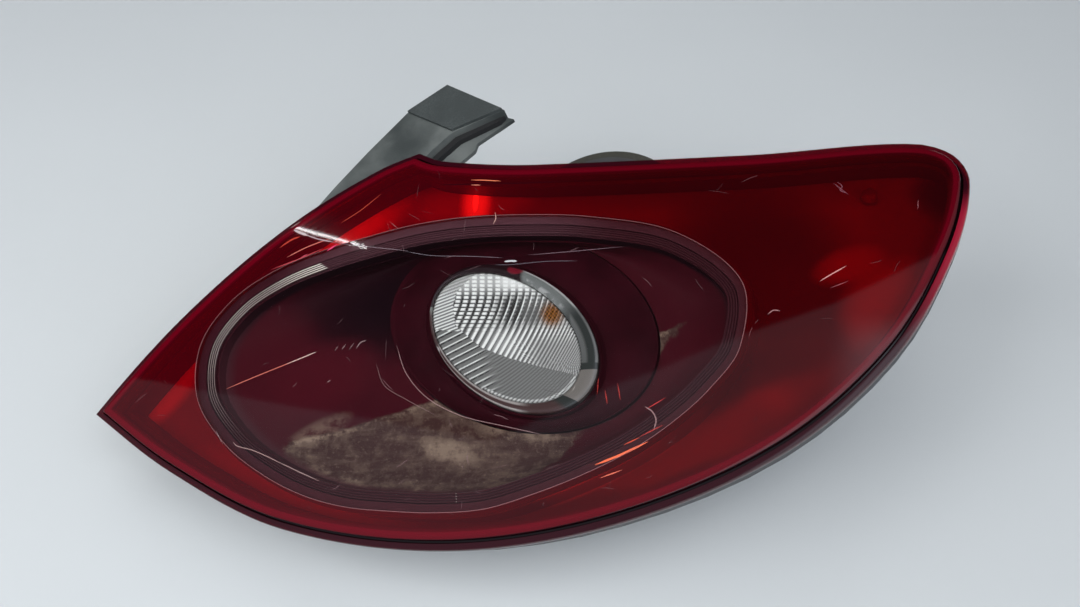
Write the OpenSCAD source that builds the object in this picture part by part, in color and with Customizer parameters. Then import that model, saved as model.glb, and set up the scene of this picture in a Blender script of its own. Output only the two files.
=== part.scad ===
// Right-hand rear lamp cluster, as it sits on the vehicle and seen from behind it.
// +X points outboard, +Y forwards into the body, +Z up. The origin is the seat of the
// inboard fixing stud, and y = 0 is the plane of the body panel that the lamp bolts to.

/* [Lens surface] */
// Wrap radius of the lens round the corner of the body, seen from above
wrap_r = 950; // [900:10:1000]
// Crown radius of the lens from top to bottom
crown_r = 440; // [400:10:480]
// Height of the crown line, measured from the inboard stud
crown_z = -88; // [-96:1:-80]
// Sideways place of the wrap centre
wrap_x = -130; // [-136:1:-124]
// Reach of the lens rearwards from the body panel
lens_reach = 125; // [122:1:130]
// Thickness of the lens wall
lens_t = 3; // [2.4:0.1:3.4]
// Width of the rim bead outside the lens skirt
bead_w = 5; // [4.4:0.1:5.6]
// Depth of the lens skirt, from the outer surface down into the glue channel
skirt_depth = 16.5; // [15:0.5:17.5]

/* [Window and light ring] */
// Long half axis of the smoky window
window_a = 152; // [148:1:155]
// Short half axis of the smoky window
window_b = 80; // [77:1:82]
// Slope of the window's long axis
window_tilt = 9; // [7:0.5:11]
// Sideways place of the window's centre
window_x = 40; // [38:0.5:42]
// Height of the window's centre
window_z = -88; // [-90:0.5:-86]
// Number of ribs round the light ring
ring_ribs = 5; // [4:1:6]
// Pitch of the ribs
rib_pitch = 2.2; // [2:0.1:2.4]
// Height of each rib
rib_h = 1.4; // [1:0.1:1.6]

/* [Indicator] */
// Long half axis of the clear indicator lens
eye_a = 46.4; // [44:0.2:47.4]
// Short half axis of the clear indicator lens
eye_b = 31.2; // [29.6:0.2:32]
// Slope of the indicator lens's long axis
eye_tilt = -38; // [-42:1:-34]
// Turn of the indicator lens outboard
eye_turn = 14; // [12:0.5:16]
// Thickness of the indicator lens
eye_t = 3; // [2.4:0.1:3.4]
// Pitch of the prisms on the indicator lens
prism_pitch = 5.6; // [5:0.2:7]
// Height of the prisms
prism_h = 1.1; // [0.8:0.1:1.3]

/* [Housing] */
// Wall of the housing
wall_t = 2.7; // [2.4:0.1:3]
// Depth of the shallow tub, from the lens surface to its floor
tub_depth = 35; // [34:0.5:37]
// Distance of the flat back of the deep well from the body panel
back_gap = 13; // [12.5:0.5:14]
// Distance of the deep well from the lamp's rim
well_inset = 16; // [15.5:0.5:18]
// Radius of the pads under the studs
pad_r = 9; // [8:0.5:9.5]
// Radius of the shoulder that carries each stud's foam washer
shoulder_r = 15.5; // [14.5:0.5:16.5]
// Height of that shoulder's face below the body panel
shoulder_gap = 7; // [6:0.5:8]
// Height of the stiffening ribs on the back
back_rib_h = 5; // [3:0.5:6]

/* [Studs] */
// Radius of the stud thread
stud_r = 3; // [2.5:0.5:4]
// Free length of the studs
stud_len = 18; // [14:1:24]
// Radius of the stud's moulded-in root
stud_root_r = 5.5; // [5:0.25:6.5]
// Length of the stud's root
stud_root_len = 6; // [4:0.5:6.5]
// Sideways place of the lower stud
lower_stud_x = 150; // [148:1:152]
// Height of the lower stud
lower_stud_z = -125; // [-127:1:-123]
// Sideways place of the outboard stud
outer_stud_x = 176; // [174:1:178]
// Height of the outboard stud
outer_stud_z = -6; // [-8:1:-4]
// Radius of the locating peg
peg_r = 4; // [3:0.5:5]
// Reach of the locating peg past the body panel
peg_len = 9; // [6:1:12]

/* [Bulb carrier] */
// Sideways place of the indicator bulb
amber_x = 74; // [73:0.5:75]
// Height of the indicator bulb
amber_z = -50; // [-51:0.5:-49]
// Sideways place of the tail bulb
tail_x = 98; // [97:0.5:99]
// Height of the tail bulb
tail_z = -104; // [-105:0.5:-103]
// Radius at each end of the carrier's opening
opening_r = 26; // [24:0.5:27]
// Width of the carrier's rim outside that opening
carrier_rim = 10; // [9:0.5:11]
// Thickness of the carrier plate
carrier_t = 3; // [2.6:0.1:3.2]
// Thickness of the carrier's gasket
gasket_t = 2; // [1.6:0.1:2.2]
// Radius of the bayonet cap of a bulb
cap_r = 7.5; // [7:0.1:7.8]
// Length of the bayonet cap
cap_len = 19; // [17:0.5:20]
// Radius of a bulb's glass globe
globe_r = 12.5; // [11:0.5:13]
// Length of a bulb from its cap's end to its tip
bulb_len = 49; // [46:0.5:50]
// Wall of the bulb sockets
socket_wall = 3.4; // [2.6:0.1:3.8]
// Sideways place of the brake bulb
brake_x = 196; // [194:1:198]
// Height of the brake bulb
brake_z = -108; // [-110:1:-106]
// Sideways place of the side bulb
side_x = 256; // [254:1:258]
// Height of the side bulb
side_z = 14; // [12:1:15]
// Radius of the side bulb's glass
side_globe_r = 5; // [4.5:0.25:5.5]

/* [Connector and seal ring] */
// Sideways place of the connector
plug_x = 104; // [102:1:106]
// Height of the connector
plug_z = 26; // [25:0.5:27]
// Inner width of the connector socket
plug_w = 40; // [36:1:42]
// Inner height of the connector socket
plug_h = 18; // [17:0.5:19]
// Number of connector pins
pins = 6; // [4:1:7]
// Long half axis of the oval foam seal ring
foam_a = 51.6; // [50:0.2:53]
// Short half axis of the foam seal ring
foam_b = 42; // [41:0.5:43]
// Distance that the ring's centre lies inboard of the connector
foam_shift = 10; // [9:0.5:11]
// Width of the foam seal ring
foam_w = 7; // [6:0.5:8]
// Height of the foam seal ring
foam_h = 11; // [9:0.5:12]

/* [Gutter strip] */
// Lean of the strip forwards
strip_lean = 18; // [16:1:20]
// Thickness of the strip
strip_t = 2.5; // [2:0.1:3]
// Depth of the rebate along the strip's outboard side
rebate_d = 7; // [5:0.5:9]
// Thickness of the foam pad at the strip's end
pad_t = 2; // [1.4:0.1:3]

/* [Hidden] */

// Running gap between pieces that seat in each other
gap = 0.3;
wrap_y = wrap_r - lens_reach;
loft_steps = 64;
arc_steps = 4;
// Prisms along Y run between these two planes
y_front = -170;
y_rear = 70;

// Rim of the lamp seen from behind the vehicle: tip, inboard edge, peak, top, outer end, bottom
rim_inboard = [[-187, -107], [-128, -50], [-68, 1], [-18, 34], [5, 44]];
rim_outboard = [[5, 44], [22, 36], [78, 29], [194, 32], [284, 44], [305, 37], [312, 18],
    [298, -30], [262, -91], [202, -143], [118, -178], [30, -190], [-60, -177], [-130, -144],
    [-187, -107]];

// Layers of the rim, counted inwards from the bead
skirt_in = bead_w;
channel_out = 1.2;
channel_wall = 2.2;
tub_in = skirt_in + lens_t + 1.3;
bead_lip_w = 2.2;
// Layers of the rim, counted down from the lens surface
bead_top = 3;
flange_top = 5;
flange_end = 8;
bond_top = 14;
channel_floor = 19.5;
channel_end = 22;
tub_top = 12;
boss_depth = tub_depth - 3.4;

// Part of the wrap that the layers are cut from
layer_reach = 260;
layer_half = 170;

// Depths of the inner trim
trim_top = lens_t + gap;
trim_t = 2;
land_w = 6.5;
seat_drop = 6;
seat_slope = 0.55;
bowl_depth = 31;
zone_depth = 26;
zone_t = 2;
divider_t = 2;
ring_w = ring_ribs * rib_pitch;
ring_t = 2.4;

// Indicator group, in the frame of the clear lens
eye_centre = [61.3, -88, -75.6];
eye_outline = [-0.6, 0.9, eye_a, eye_b, eye_tilt];
chrome_outline = [3.4, 0.4, eye_a + 6, eye_b + 5.6, eye_tilt];
collar_outline = [63.5, -65.9, 77.8, 58, -20.5];
hole_outline = [63.5, -65.9, 77.8 + gap, 58 + gap, -20.5];

window_outline = [window_x, window_z, window_a, window_b, window_tilt];

// Planes of the carrier group
well_back = -back_gap;
carrier_y = well_back + gasket_t;
carrier_back = carrier_y + carrier_t;
foam_outline = [plug_x - foam_shift, plug_z, foam_a, foam_b, 0];
bulb_seat = carrier_y - gap;
bulb_inset = 3;
socket_r = cap_r + gap;

stud_places = [[0, 0], [lower_stud_x, lower_stud_z], [outer_stud_x, outer_stud_z]];
peg_place = [24, -70];
vent_place = [150, -60];
vent_r = 9;

// Holders of the two bulbs on the shallow floor
brake_floor = surface_y([brake_x, brake_z], tub_depth + wall_t);
side_floor = surface_y([side_x, side_z], tub_depth + wall_t);
brake_seat = brake_floor + 27;
holder_r = globe_r + 2.2;
holder_face = 8;
holder_tail = 5;

// Gutter strip, in its own plane: sideways, then up the slope from its foot
strip_foot = [-88, 14];
strip_face = [[-69, 5], [-57, 25], [-41, 49], [-19, 79], [7, 98], [50, 66], [17, 54], [6, 42],
    [-10, 20], [-30, -4], [-62, -12]];
strip_ledge = [[50, 66], [54, 64], [32, 48], [31, 42], [18, 29], [2, 6], [-30, -8], [-10, 20],
    [6, 42], [17, 54]];
strip_end_pad = [[-18, 79], [7, 97], [49, 66], [17, 55]];
// Facets of the rim that the strip's screws enter
screw_facets = [6, 8];

function lerp(a, b, t) = a + (b - a) * t;

// Smooth curve through hand-set points, each span an equal number of steps
function slope_at(p, i) =
    i == 0 ? (p[1] - p[0]) / norm(p[1] - p[0])
    : i == len(p) - 1 ? (p[i] - p[i - 1]) / norm(p[i] - p[i - 1])
    : (p[i + 1] - p[i - 1]) / (norm(p[i] - p[i - 1]) + norm(p[i + 1] - p[i]));
function span(a, b, ta, tb, t) =
    let (d = norm(b - a), s = t * t, c = s * t)
    (2 * c - 3 * s + 1) * a + (c - 2 * s + t) * d * ta
    + (3 * s - 2 * c) * b + (c - s) * d * tb;
function smooth(p, n) = [
    for (i = [0 : len(p) - 2])
        for (j = [0 : n - 1])
            span(p[i], p[i + 1], slope_at(p, i), slope_at(p, i + 1), j / n)];
rim_points = concat(smooth(rim_inboard, 3), smooth(rim_outboard, arc_steps));

// Ellipse as [x, z, long half axis, short half axis, tilt], grown by g
function grown(e, g) = [e[0], e[1], e[2] + g, e[3] + g, e[4]];
function on_ellipse(e, a) =
    let (u = e[2] * cos(a - e[4]), w = e[3] * sin(a - e[4]))
    [e[0] + u * cos(e[4]) - w * sin(e[4]), e[1] + u * sin(e[4]) + w * cos(e[4])];
function ellipse(e) = [for (i = [0 : loft_steps - 1]) on_ellipse(e, 360 * i / loft_steps)];

// Y of the surface at depth d under the lens
function surface_y(p, d) =
    let (rho = wrap_r - crown_r + sqrt(pow(crown_r - d, 2) - pow(p[1] - crown_z, 2)))
    wrap_y - sqrt(rho * rho - pow(p[0] - wrap_x, 2));
function layer_ring(e, d) = [for (p = ellipse(e)) [p[0], surface_y(p, d), p[1]]];
function flat_ring(e, y) = [for (p = ellipse(e)) [p[0], y, p[1]]];
function eye_point(p, z) = eye_centre
    + [p[0] * cos(eye_turn) + z * sin(eye_turn), p[0] * sin(eye_turn) - z * cos(eye_turn), p[1]];
function eye_ring(e, z) = [for (p = ellipse(e)) eye_point(p, z)];
function mix_rings(a, b, t) = [for (i = [0 : loft_steps - 1]) lerp(a[i], b[i], t)];
function sunk(ring, y) = [for (p = ring) p + [0, y, 0]];

// Closed skin through rings that run down the front face and back up the rear face
module skin(rings) {
    m = len(rings);
    polyhedron(
        points = [for (r = rings) for (p = r) p],
        faces = [
            for (j = [0 : m - 1])
                for (i = [0 : loft_steps - 1])
                    let (
                        k = (i + 1) % loft_steps,
                        a = j * loft_steps,
                        b = ((j + 1) % m) * loft_steps)
                    each [[a + i, b + i, b + k], [a + i, b + k, a + k]]]);
}

// Everything between two depths under the lens surface
module layer(top, bottom) {
    $fn = 240;
    translate([wrap_x, wrap_y, crown_z])
        rotate([0, 0, -100])
            rotate_extrude(angle = 50)
                intersection() {
                    translate([wrap_r - crown_r, 0])
                        difference() {
                            circle(r = crown_r - top);
                            circle(r = crown_r - bottom);
                        }
                    translate([wrap_r - layer_reach, -layer_half])
                        square([layer_reach + 40, 2 * layer_half]);
                }
}

module along_y(y0, y1) {
    translate([0, y1, 0])
        rotate([90, 0, 0])
            linear_extrude(y1 - y0)
                children();
}

module rim(inset) {
    offset(delta = -inset)
        polygon(rim_points);
}

// Band of the rim between two insets and two depths
module rim_band(outer, inner, top, bottom) {
    intersection() {
        layer(top, bottom);
        along_y(y_front, y_rear)
            difference() {
                rim(outer);
                rim(inner);
            }
    }
}

module rim_plate(inset, top, bottom) {
    intersection() {
        layer(top, bottom);
        along_y(y_front, y_rear)
            rim(inset);
    }
}

// Straight bar of width w between two points, its ends squared
module bar(a, b, w) {
    translate(a)
        rotate(atan2(b[1] - a[1], b[0] - a[0]))
            translate([-w / 2, -w / 2])
                square([norm(b - a) + w, w]);
}

module at(place) {
    translate([place[0], 0, place[1]])
        children();
}

module rod(r, y0, y1) {
    translate([0, y1, 0])
        rotate([90, 0, 0])
            cylinder(r = r, h = y1 - y0, $fn = 48);
}

// Outer lens, a red moulding with a skirt, a flange and a raised bead
module outer_lens() {
    color("#9b0b12") {
        difference() {
            rim_plate(skirt_in, 0, lens_t);
            along_y(y_front, y_rear)
                polygon(ellipse(window_outline));
        }
        rim_band(skirt_in, skirt_in + lens_t, 0, skirt_depth);
        rim_band(0, skirt_in + lens_t / 2, flange_top, flange_end);
        rim_band(0, bead_lip_w, bead_top, flange_end);
    }
}

module lens_window() {
    color("#5a4a4c", 0.5)
        intersection() {
            layer(0, lens_t);
            along_y(y_front, y_rear)
                polygon(ellipse(window_outline));
        }
}

module lens_bond() {
    color("#3a3a3a")
        difference() {
            rim_band(channel_out + channel_wall, tub_in, bond_top, channel_floor);
            rim_band(skirt_in, skirt_in + lens_t, 0, skirt_depth);
        }
}

module well_outline(inset) {
    offset(delta = -inset)
        offset(r = 10, $fn = 24)
            offset(delta = -10)
                intersection() {
                    rim(well_inset);
                    polygon([[-24, -60], [-24, 80], [206, 80], [206, -56], [170, -96],
                        [170, -146], [64, -146]]);
                }
}

// Opening in the back for the two bulbs of the carrier
module opening(grow) {
    hull()
        for (p = [[amber_x, amber_z], [tail_x, tail_z]])
            translate(p)
                circle(r = opening_r + grow, $fn = 64);
}

module stud() {
    rod(stud_r, -3, stud_len);
    rod(stud_root_r, -2 - stud_root_len, 0);
}

module screw_places() {
    for (k = screw_facets) {
        foot = (rim_points[k] + rim_points[k + 1]) / 2;
        run = rim_points[k + 1] - rim_points[k];
        turn = atan2(run[1], run[0]);
        translate([foot[0], surface_y(foot, boss_depth), foot[1]])
            rotate([0, -turn, 0])
                translate([0, 0, -tub_in])
                    children();
    }
}

module clip_places() {
    mid = [(amber_x + tail_x) / 2, (amber_z + tail_z) / 2];
    turn = atan2(tail_z - amber_z, tail_x - amber_x);
    for (side = [-1, 1])
        translate([mid[0], 0, mid[1]])
            rotate([0, -turn - 90 * side, 0])
                translate([opening_r + carrier_rim, 0, 0])
                    children();
}

module housing() {
    color("#26272a")
        difference() {
            union() {
                rim_band(channel_out, channel_out + channel_wall, flange_end + gap, channel_end);
                rim_band(channel_out, tub_in + wall_t, channel_floor, channel_end);
                rim_band(tub_in, tub_in + wall_t, tub_top, tub_depth + wall_t);
                rim_plate(tub_in, tub_depth, tub_depth + wall_t);
                intersection() {
                    layer(tub_depth, 170);
                    along_y(y_front, well_back)
                        well_outline(0);
                }
                for (place = stud_places)
                    at(place) {
                        rod(shoulder_r, well_back - 1, -shoulder_gap);
                        rod(pad_r, well_back - 1, 0);
                    }
                at(peg_place) {
                    rod(peg_r + 3, well_back - 1, well_back + back_rib_h);
                    rod(peg_r, well_back - 1, peg_len);
                }
                back_ribs();
                at([brake_x, brake_z])
                    rod(holder_r + 4, brake_floor - 2, brake_floor + holder_face);
                clip_places()
                    translate([6.5, 0, 0])
                        rod(1.4, well_back - 1, well_back + 2.2);
                screw_places()
                    translate([0, 0, -4])
                        cylinder(r = 3.2, h = 4, $fn = 32);
            }
            intersection() {
                layer(tub_depth - 1, 170);
                along_y(y_front, well_back - wall_t)
                    well_outline(wall_t);
            }
            along_y(well_back - wall_t - 1, well_back + back_rib_h + 1)
                opening(0);
            for (place = stud_places)
                at(place)
                    stud();
            at([brake_x, brake_z])
                rod(holder_r + gap, brake_floor - 20, brake_floor + 20);
            at([side_x, side_z])
                rod(side_globe_r + 1.5 + gap, side_floor - 20, side_floor + 20);
            at(vent_place)
                rod(3, well_back - wall_t - 1, well_back + 1);
            screw_places()
                translate([0, 0, -5])
                    cylinder(r = 1.8, h = 12, $fn = 32);
        }
}

// Ribs that tie the stud pads together across the back
module back_ribs() {
    along_y(well_back - 1, well_back + back_rib_h)
        difference() {
            union() {
                bar(stud_places[0], peg_place, 2);
                bar(stud_places[1], vent_place, 2);
                bar(vent_place, stud_places[2], 2);
            }
            translate(vent_place)
                circle(r = vent_r + 1, $fn = 48);
        }
}

// Metallised panel behind the red field, with a divider round the window
module zone_reflector() {
    color("#c9ccd0")
        difference() {
            union() {
                difference() {
                    rim_plate(tub_in + wall_t + gap, zone_depth, zone_depth + zone_t);
                    along_y(y_front, y_rear)
                        polygon(ellipse(grown(window_outline, 1)));
                }
                intersection() {
                    layer(trim_top + trim_t + gap, zone_depth + zone_t);
                    along_y(y_front, y_rear)
                        intersection() {
                            rim(tub_in + wall_t + gap);
                            difference() {
                                polygon(ellipse(grown(window_outline, 0.5 + divider_t)));
                                polygon(ellipse(grown(window_outline, 0.5)));
                            }
                        }
                }
            }
            at([brake_x, brake_z])
                rod(globe_r + 3, y_front, y_rear);
            at([side_x, side_z])
                rod(side_globe_r + 2, y_front, y_rear);
        }
}

// Dark bowl from the window's edge down to the collar
module ring_bezel() {
    seat_in = land_w + ring_w + 0.6;
    seat_low = trim_top + seat_drop + (ring_w + 0.6) * seat_slope;
    foot = layer_ring(hole_outline, bowl_depth);
    brow = layer_ring(grown(window_outline, -seat_in), seat_low);
    function bowl(t) = sunk(mix_rings(brow, foot, t), 5 * sin(180 * t));
    color("#241f22")
        skin([
            layer_ring(grown(window_outline, 2), trim_top),
            layer_ring(grown(window_outline, -land_w), trim_top),
            layer_ring(grown(window_outline, -land_w - 0.2), trim_top + seat_drop),
            brow,
            bowl(0.25),
            bowl(0.5),
            bowl(0.75),
            foot,
            sunk(foot, trim_t),
            sunk(bowl(0.75), trim_t),
            sunk(bowl(0.5), trim_t),
            sunk(bowl(0.25), trim_t),
            sunk(brow, trim_t + 0.6),
            layer_ring(grown(window_outline, 0.3 - land_w + trim_t), trim_top + seat_drop + trim_t),
            layer_ring(grown(window_outline, -land_w + trim_t), trim_top + trim_t),
            layer_ring(grown(window_outline, 2), trim_top + trim_t)]);
}

// Clear ring with fine ribs on its front
module light_ring() {
    function low(k) = trim_top + seat_drop - gap - ring_t + k * rib_pitch * seat_slope;
    color("#d9dde0", 0.7)
        skin(concat(
            [for (k = [0 : ring_ribs - 1])
                for (s = [[0.1, 0], [0.9, -rib_h], [rib_pitch - 0.5, -rib_h], [rib_pitch - 0.1, 0]])
                    layer_ring(grown(window_outline, -land_w - 0.3 - k * rib_pitch - s[0]),
                        low(k) + s[0] * seat_slope + s[1])],
            [layer_ring(grown(window_outline, -land_w - 0.3 - ring_w), low(ring_ribs) + ring_t),
                layer_ring(grown(window_outline, -land_w - 0.4), low(0) + ring_t)]));
}

// Cone that rises from the bowl to the chrome ring
module bowl_collar() {
    foot = layer_ring(collar_outline, bowl_depth);
    top = eye_ring(grown(chrome_outline, 1), -10);
    color("#2c2629")
        skin([
            layer_ring(grown(collar_outline, -0.5), bowl_depth - 2),
            sunk(mix_rings(foot, top, 0.5), -3),
            eye_ring(grown(chrome_outline, 1.6), -4),
            eye_ring(grown(chrome_outline, gap), -4),
            sunk(top, 0.5),
            sunk(mix_rings(foot, top, 0.5), 1),
            layer_ring(grown(collar_outline, -0.5), bowl_depth + trim_t)]);
}

module eye_frame() {
    translate(eye_centre)
        rotate([90, 0, eye_turn])
            children();
}

// Small metallised bowl behind the clear lens
module indicator_reflector() {
    top = -7 - gap;
    brow = eye_ring(grown(eye_outline, -1.5), top);
    neck = flat_ring([amber_x, amber_z, globe_r + 2, globe_r + 2, 0], -36);
    function wall(t) = sunk(mix_rings(brow, neck, t), 6 * sin(180 * t));
    color("#d3d6da")
        skin([
            eye_ring(grown(eye_outline, 2), top),
            brow,
            wall(0.3),
            wall(0.65),
            neck,
            sunk(neck, 1.6),
            sunk(wall(0.65), 1.6),
            sunk(wall(0.3), 1.6),
            eye_ring(grown(eye_outline, 0.5), top - 1.7),
            eye_ring(grown(eye_outline, 2), top - 1.7)]);
}

// Ridges across the whole lens along one direction
module ridges(pitch, h) {
    count = ceil(eye_a / pitch) + 1;
    rotate([90, 0, 0])
        translate([0, 0, -eye_a - 4])
            linear_extrude(2 * eye_a + 8)
                polygon(concat(
                    [for (i = [-count : count]) each [[i * pitch, 0], [(i + 0.5) * pitch, h]]],
                    [[(count + 1) * pitch, -eye_t], [-count * pitch, -eye_t]]));
}

// Clear lens: square prisms above, slanted flutes below
module indicator_lens() {
    flute_turn = -42;
    flute_top = 6;
    prism_seat = 0.4;
    color("#eef2f4", 0.6)
        eye_frame()
            translate([0, 0, -1 - prism_h])
                intersection() {
                    translate([0, 0, -eye_t])
                        linear_extrude(eye_t + prism_h)
                            polygon(ellipse(eye_outline));
                    union() {
                        translate([-2 * eye_a, -2 * eye_a, -eye_t])
                            cube([4 * eye_a, 4 * eye_a, eye_t - prism_seat]);
                        intersection() {
                            ridges(prism_pitch, prism_h);
                            rotate([0, 0, 90])
                                ridges(prism_pitch, prism_h);
                            rotate([0, 0, flute_turn])
                                translate([-2 * eye_a, -flute_top, -2 * prism_seat])
                                    cube([4 * eye_a, 2 * eye_a, 2 * prism_seat + 2 * prism_h]);
                        }
                        intersection() {
                            rotate([0, 0, flute_turn + 66])
                                ridges(prism_pitch / 2, prism_h);
                            rotate([0, 0, flute_turn])
                                translate([-2 * eye_a, -2 * eye_a - flute_top, -2 * prism_seat])
                                    cube([4 * eye_a, 2 * eye_a, 2 * prism_seat + 2 * prism_h]);
                        }
                    }
                }
}

module chrome_ring() {
    inner = grown(eye_outline, gap);
    color("#e4e6e8")
        skin([
            eye_ring(chrome_outline, -7),
            eye_ring(grown(chrome_outline, -0.2), -2.4),
            mix_rings(eye_ring(inner, 0.4), eye_ring(chrome_outline, 0.4), 0.7),
            mix_rings(eye_ring(inner, 0), eye_ring(chrome_outline, 0), 0.25),
            eye_ring(inner, -1.2),
            eye_ring(inner, -eye_t - prism_h - 1 - gap),
            eye_ring(grown(inner, -1.2), -eye_t - prism_h - 1 - gap),
            eye_ring(grown(inner, -1.2), -7),
            eye_ring(grown(inner, 0.8), -7),
            eye_ring(grown(inner, 0.8), -2.6),
            eye_ring(grown(chrome_outline, -1), -3.6),
            eye_ring(grown(chrome_outline, -0.9), -7)]);
}

// Filament bulb with a bayonet cap, its axis along Y and its glass to the rear
module bulb(seat) {
    tip = seat - bulb_len;
    rod(cap_r, seat - cap_len, seat - 1.2);
    rod(cap_r - 2.2, seat - 1.3, seat);
    for (side = [-1, 1])
        translate([0, seat - 8, side * cap_r])
            cylinder(r = 1, h = 2, center = true, $fn = 24);
    translate([0, tip, 0])
        rotate([-90, 0, 0])
            rotate_extrude($fn = 64)
                difference() {
                    union() {
                        translate([0, globe_r])
                            circle(r = globe_r);
                        polygon([[0, globe_r], [globe_r * 0.94, globe_r * 1.34],
                            [cap_r - 0.4, bulb_len - cap_len], [cap_r - 0.4, bulb_len - cap_len + 2],
                            [0, bulb_len - cap_len + 2]]);
                    }
                    translate([-50, -1])
                        square([50, 100]);
                }
}

// Socket tube with two bayonet slots
module socket_tube(y0, y1) {
    difference() {
        rod(socket_r + socket_wall, y0, y1);
        rod(socket_r, y0 - 1, y1 - bulb_inset);
        translate([-1.5, y0 - 1, -socket_r - 1])
            cube([3, y1 - bulb_inset - y0, 2 * socket_r + 2]);
    }
}

module indicator_bulb() {
    color("#e8820c")
        at([amber_x, amber_z])
            bulb(bulb_seat - bulb_inset);
}

module tail_bulb() {
    color("#e6e6e2")
        at([tail_x, tail_z])
            bulb(bulb_seat - bulb_inset);
}

module brake_bulb() {
    color("#e6e6e2")
        at([brake_x, brake_z])
            bulb(brake_seat - bulb_inset - gap);
}

// Push-in holder: its flange seats on the housing's collar, with three finger grips behind it
module brake_socket() {
    color("#3b3b3e")
        at([brake_x, brake_z])
            difference() {
                union() {
                    rod(holder_r, brake_floor - holder_tail, brake_seat + 3);
                    rod(holder_r + 5, brake_floor + holder_face + gap,
                        brake_floor + holder_face + gap + 3);
                    for (turn = [90, 210, 330])
                        rotate([0, turn, 0])
                            translate([holder_r - 1, brake_floor + holder_face + 3, -1.5])
                                cube([4, brake_seat - brake_floor - holder_face, 3]);
                }
                rod(globe_r + 0.5, brake_floor - holder_tail - 1, brake_seat - bulb_inset - 18);
                rod(socket_r, brake_floor, brake_seat - bulb_inset);
                translate([-1.5, brake_floor, -socket_r - 1])
                    cube([3, brake_seat - bulb_inset - brake_floor, 2 * socket_r + 2]);
            }
}

module side_bulb() {
    color("#e6e6e2")
        at([side_x, side_z]) {
            rod(side_globe_r, side_floor - 17, side_floor + 2);
            translate([0, side_floor - 17, 0])
                sphere(r = side_globe_r, $fn = 48);
            translate([-side_globe_r + 0.6, side_floor + 1.9, -2])
                cube([2 * side_globe_r - 1.2, 6, 4]);
        }
}

module side_socket() {
    color("#3b3b3e")
        at([side_x, side_z])
            difference() {
                union() {
                    rod(side_globe_r + 1.5, side_floor - 4, side_floor + 15);
                    rod(side_globe_r + 6, side_floor + 10, side_floor + 13);
                }
                rod(side_globe_r + gap, side_floor - 5, side_floor + 2 + gap);
                translate([-side_globe_r + 0.4, side_floor, -2.2])
                    cube([2 * side_globe_r - 0.8, 8.2, 4.4]);
            }
}

module carrier_outline() {
    opening(carrier_rim);
    hull() {
        translate([amber_x, amber_z])
            circle(r = opening_r, $fn = 48);
        polygon(ellipse(grown(foam_outline, 1.5 - foam_w)));
    }
}

module bulb_carrier() {
    color("#34353a")
        difference() {
            union() {
                along_y(carrier_y, carrier_back)
                    carrier_outline();
                at([amber_x, amber_z])
                    socket_tube(carrier_y - 23, carrier_y);
                at([tail_x, tail_z])
                    socket_tube(carrier_y - 23, carrier_y);
                at([plug_x, plug_z])
                    along_y(carrier_back - 1, carrier_back + 20)
                        difference() {
                            offset(r = 2, $fn = 24)
                                square([plug_w, plug_h], center = true);
                            square([plug_w, plug_h], center = true);
                        }
                along_y(carrier_back - 1, carrier_back + 4)
                    difference() {
                        opening(2);
                        opening(0);
                    }
            }
            for (i = [0 : pins - 1])
                at(pin_place(i))
                    pin();
            strips();
        }
}

module carrier_gasket() {
    color("#141414")
        along_y(well_back, carrier_y)
            difference() {
                opening(7);
                opening(1.5);
            }
}

// Spring clips that hook the carrier down, each on a peg of the housing
module carrier_clips() {
    half = 7;
    color("#b9bcc0")
        clip_places()
            difference() {
                union() {
                    translate([gap, well_back, -half])
                        cube([12, 0.8, 2 * half]);
                    translate([gap, well_back, -half])
                        cube([0.8, carrier_back + gap + 0.8 - well_back, 2 * half]);
                    translate([-3.5, carrier_back + gap, -half])
                        cube([4.6, 0.8, 2 * half]);
                }
                translate([6.5, 0, 0])
                    rod(1.6, well_back - 1, well_back + 3);
            }
}

function pin_place(i) = [plug_x + (i - (pins - 1) / 2) * 5.5, plug_z - 4];

module pin() {
    translate([-0.6, carrier_back - 2, -0.6])
        cube([1.2, 12, 1.2]);
}

module connector_pins() {
    color("#c8b36a")
        for (i = [0 : pins - 1])
            at(pin_place(i))
                pin();
}

// Three flat tracks let into the back of the carrier
module strips() {
    for (track = [-1, 0, 1])
        along_y(carrier_back - 0.8, carrier_back)
            union() {
                bar([amber_x + 9 * track, amber_z], [plug_x + 9 * track, plug_z - 16], 4);
                bar([amber_x + 9 * track, amber_z], [tail_x + 9 * track, tail_z], 4);
            }
}

module contact_strips() {
    color("#b8a35c")
        strips();
}

module seal_ring() {
    color("#4b4c47")
        along_y(carrier_back, carrier_back + foam_h)
            difference() {
                polygon(ellipse(foam_outline));
                polygon(ellipse(grown(foam_outline, -foam_w)));
            }
}

module mounting_studs() {
    color("#c4c6c2")
        for (place = stud_places)
            at(place)
                stud();
}

module stud_washers() {
    color("#3f403d")
        for (place = stud_places)
            at(place)
                difference() {
                    rod(shoulder_r - 0.5, -shoulder_gap, 2);
                    rod(pad_r + gap, -shoulder_gap - 1, 3);
                }
}

module vent_cap() {
    color("#1c1c1e")
        at(vent_place)
            difference() {
                union() {
                    rod(3 - gap, well_back - wall_t, well_back + 1);
                    rod(vent_r, well_back, well_back + 4);
                }
                for (turn = [0, 90])
                    rotate([0, turn, 0])
                        translate([-vent_r - 1, well_back + 2.4, -1])
                            cube([2 * vent_r + 2, 3, 2]);
            }
}

module strip_frame() {
    translate([0, strip_foot[0], strip_foot[1]])
        rotate([90 - strip_lean, 0, 0])
            children();
}

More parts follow.
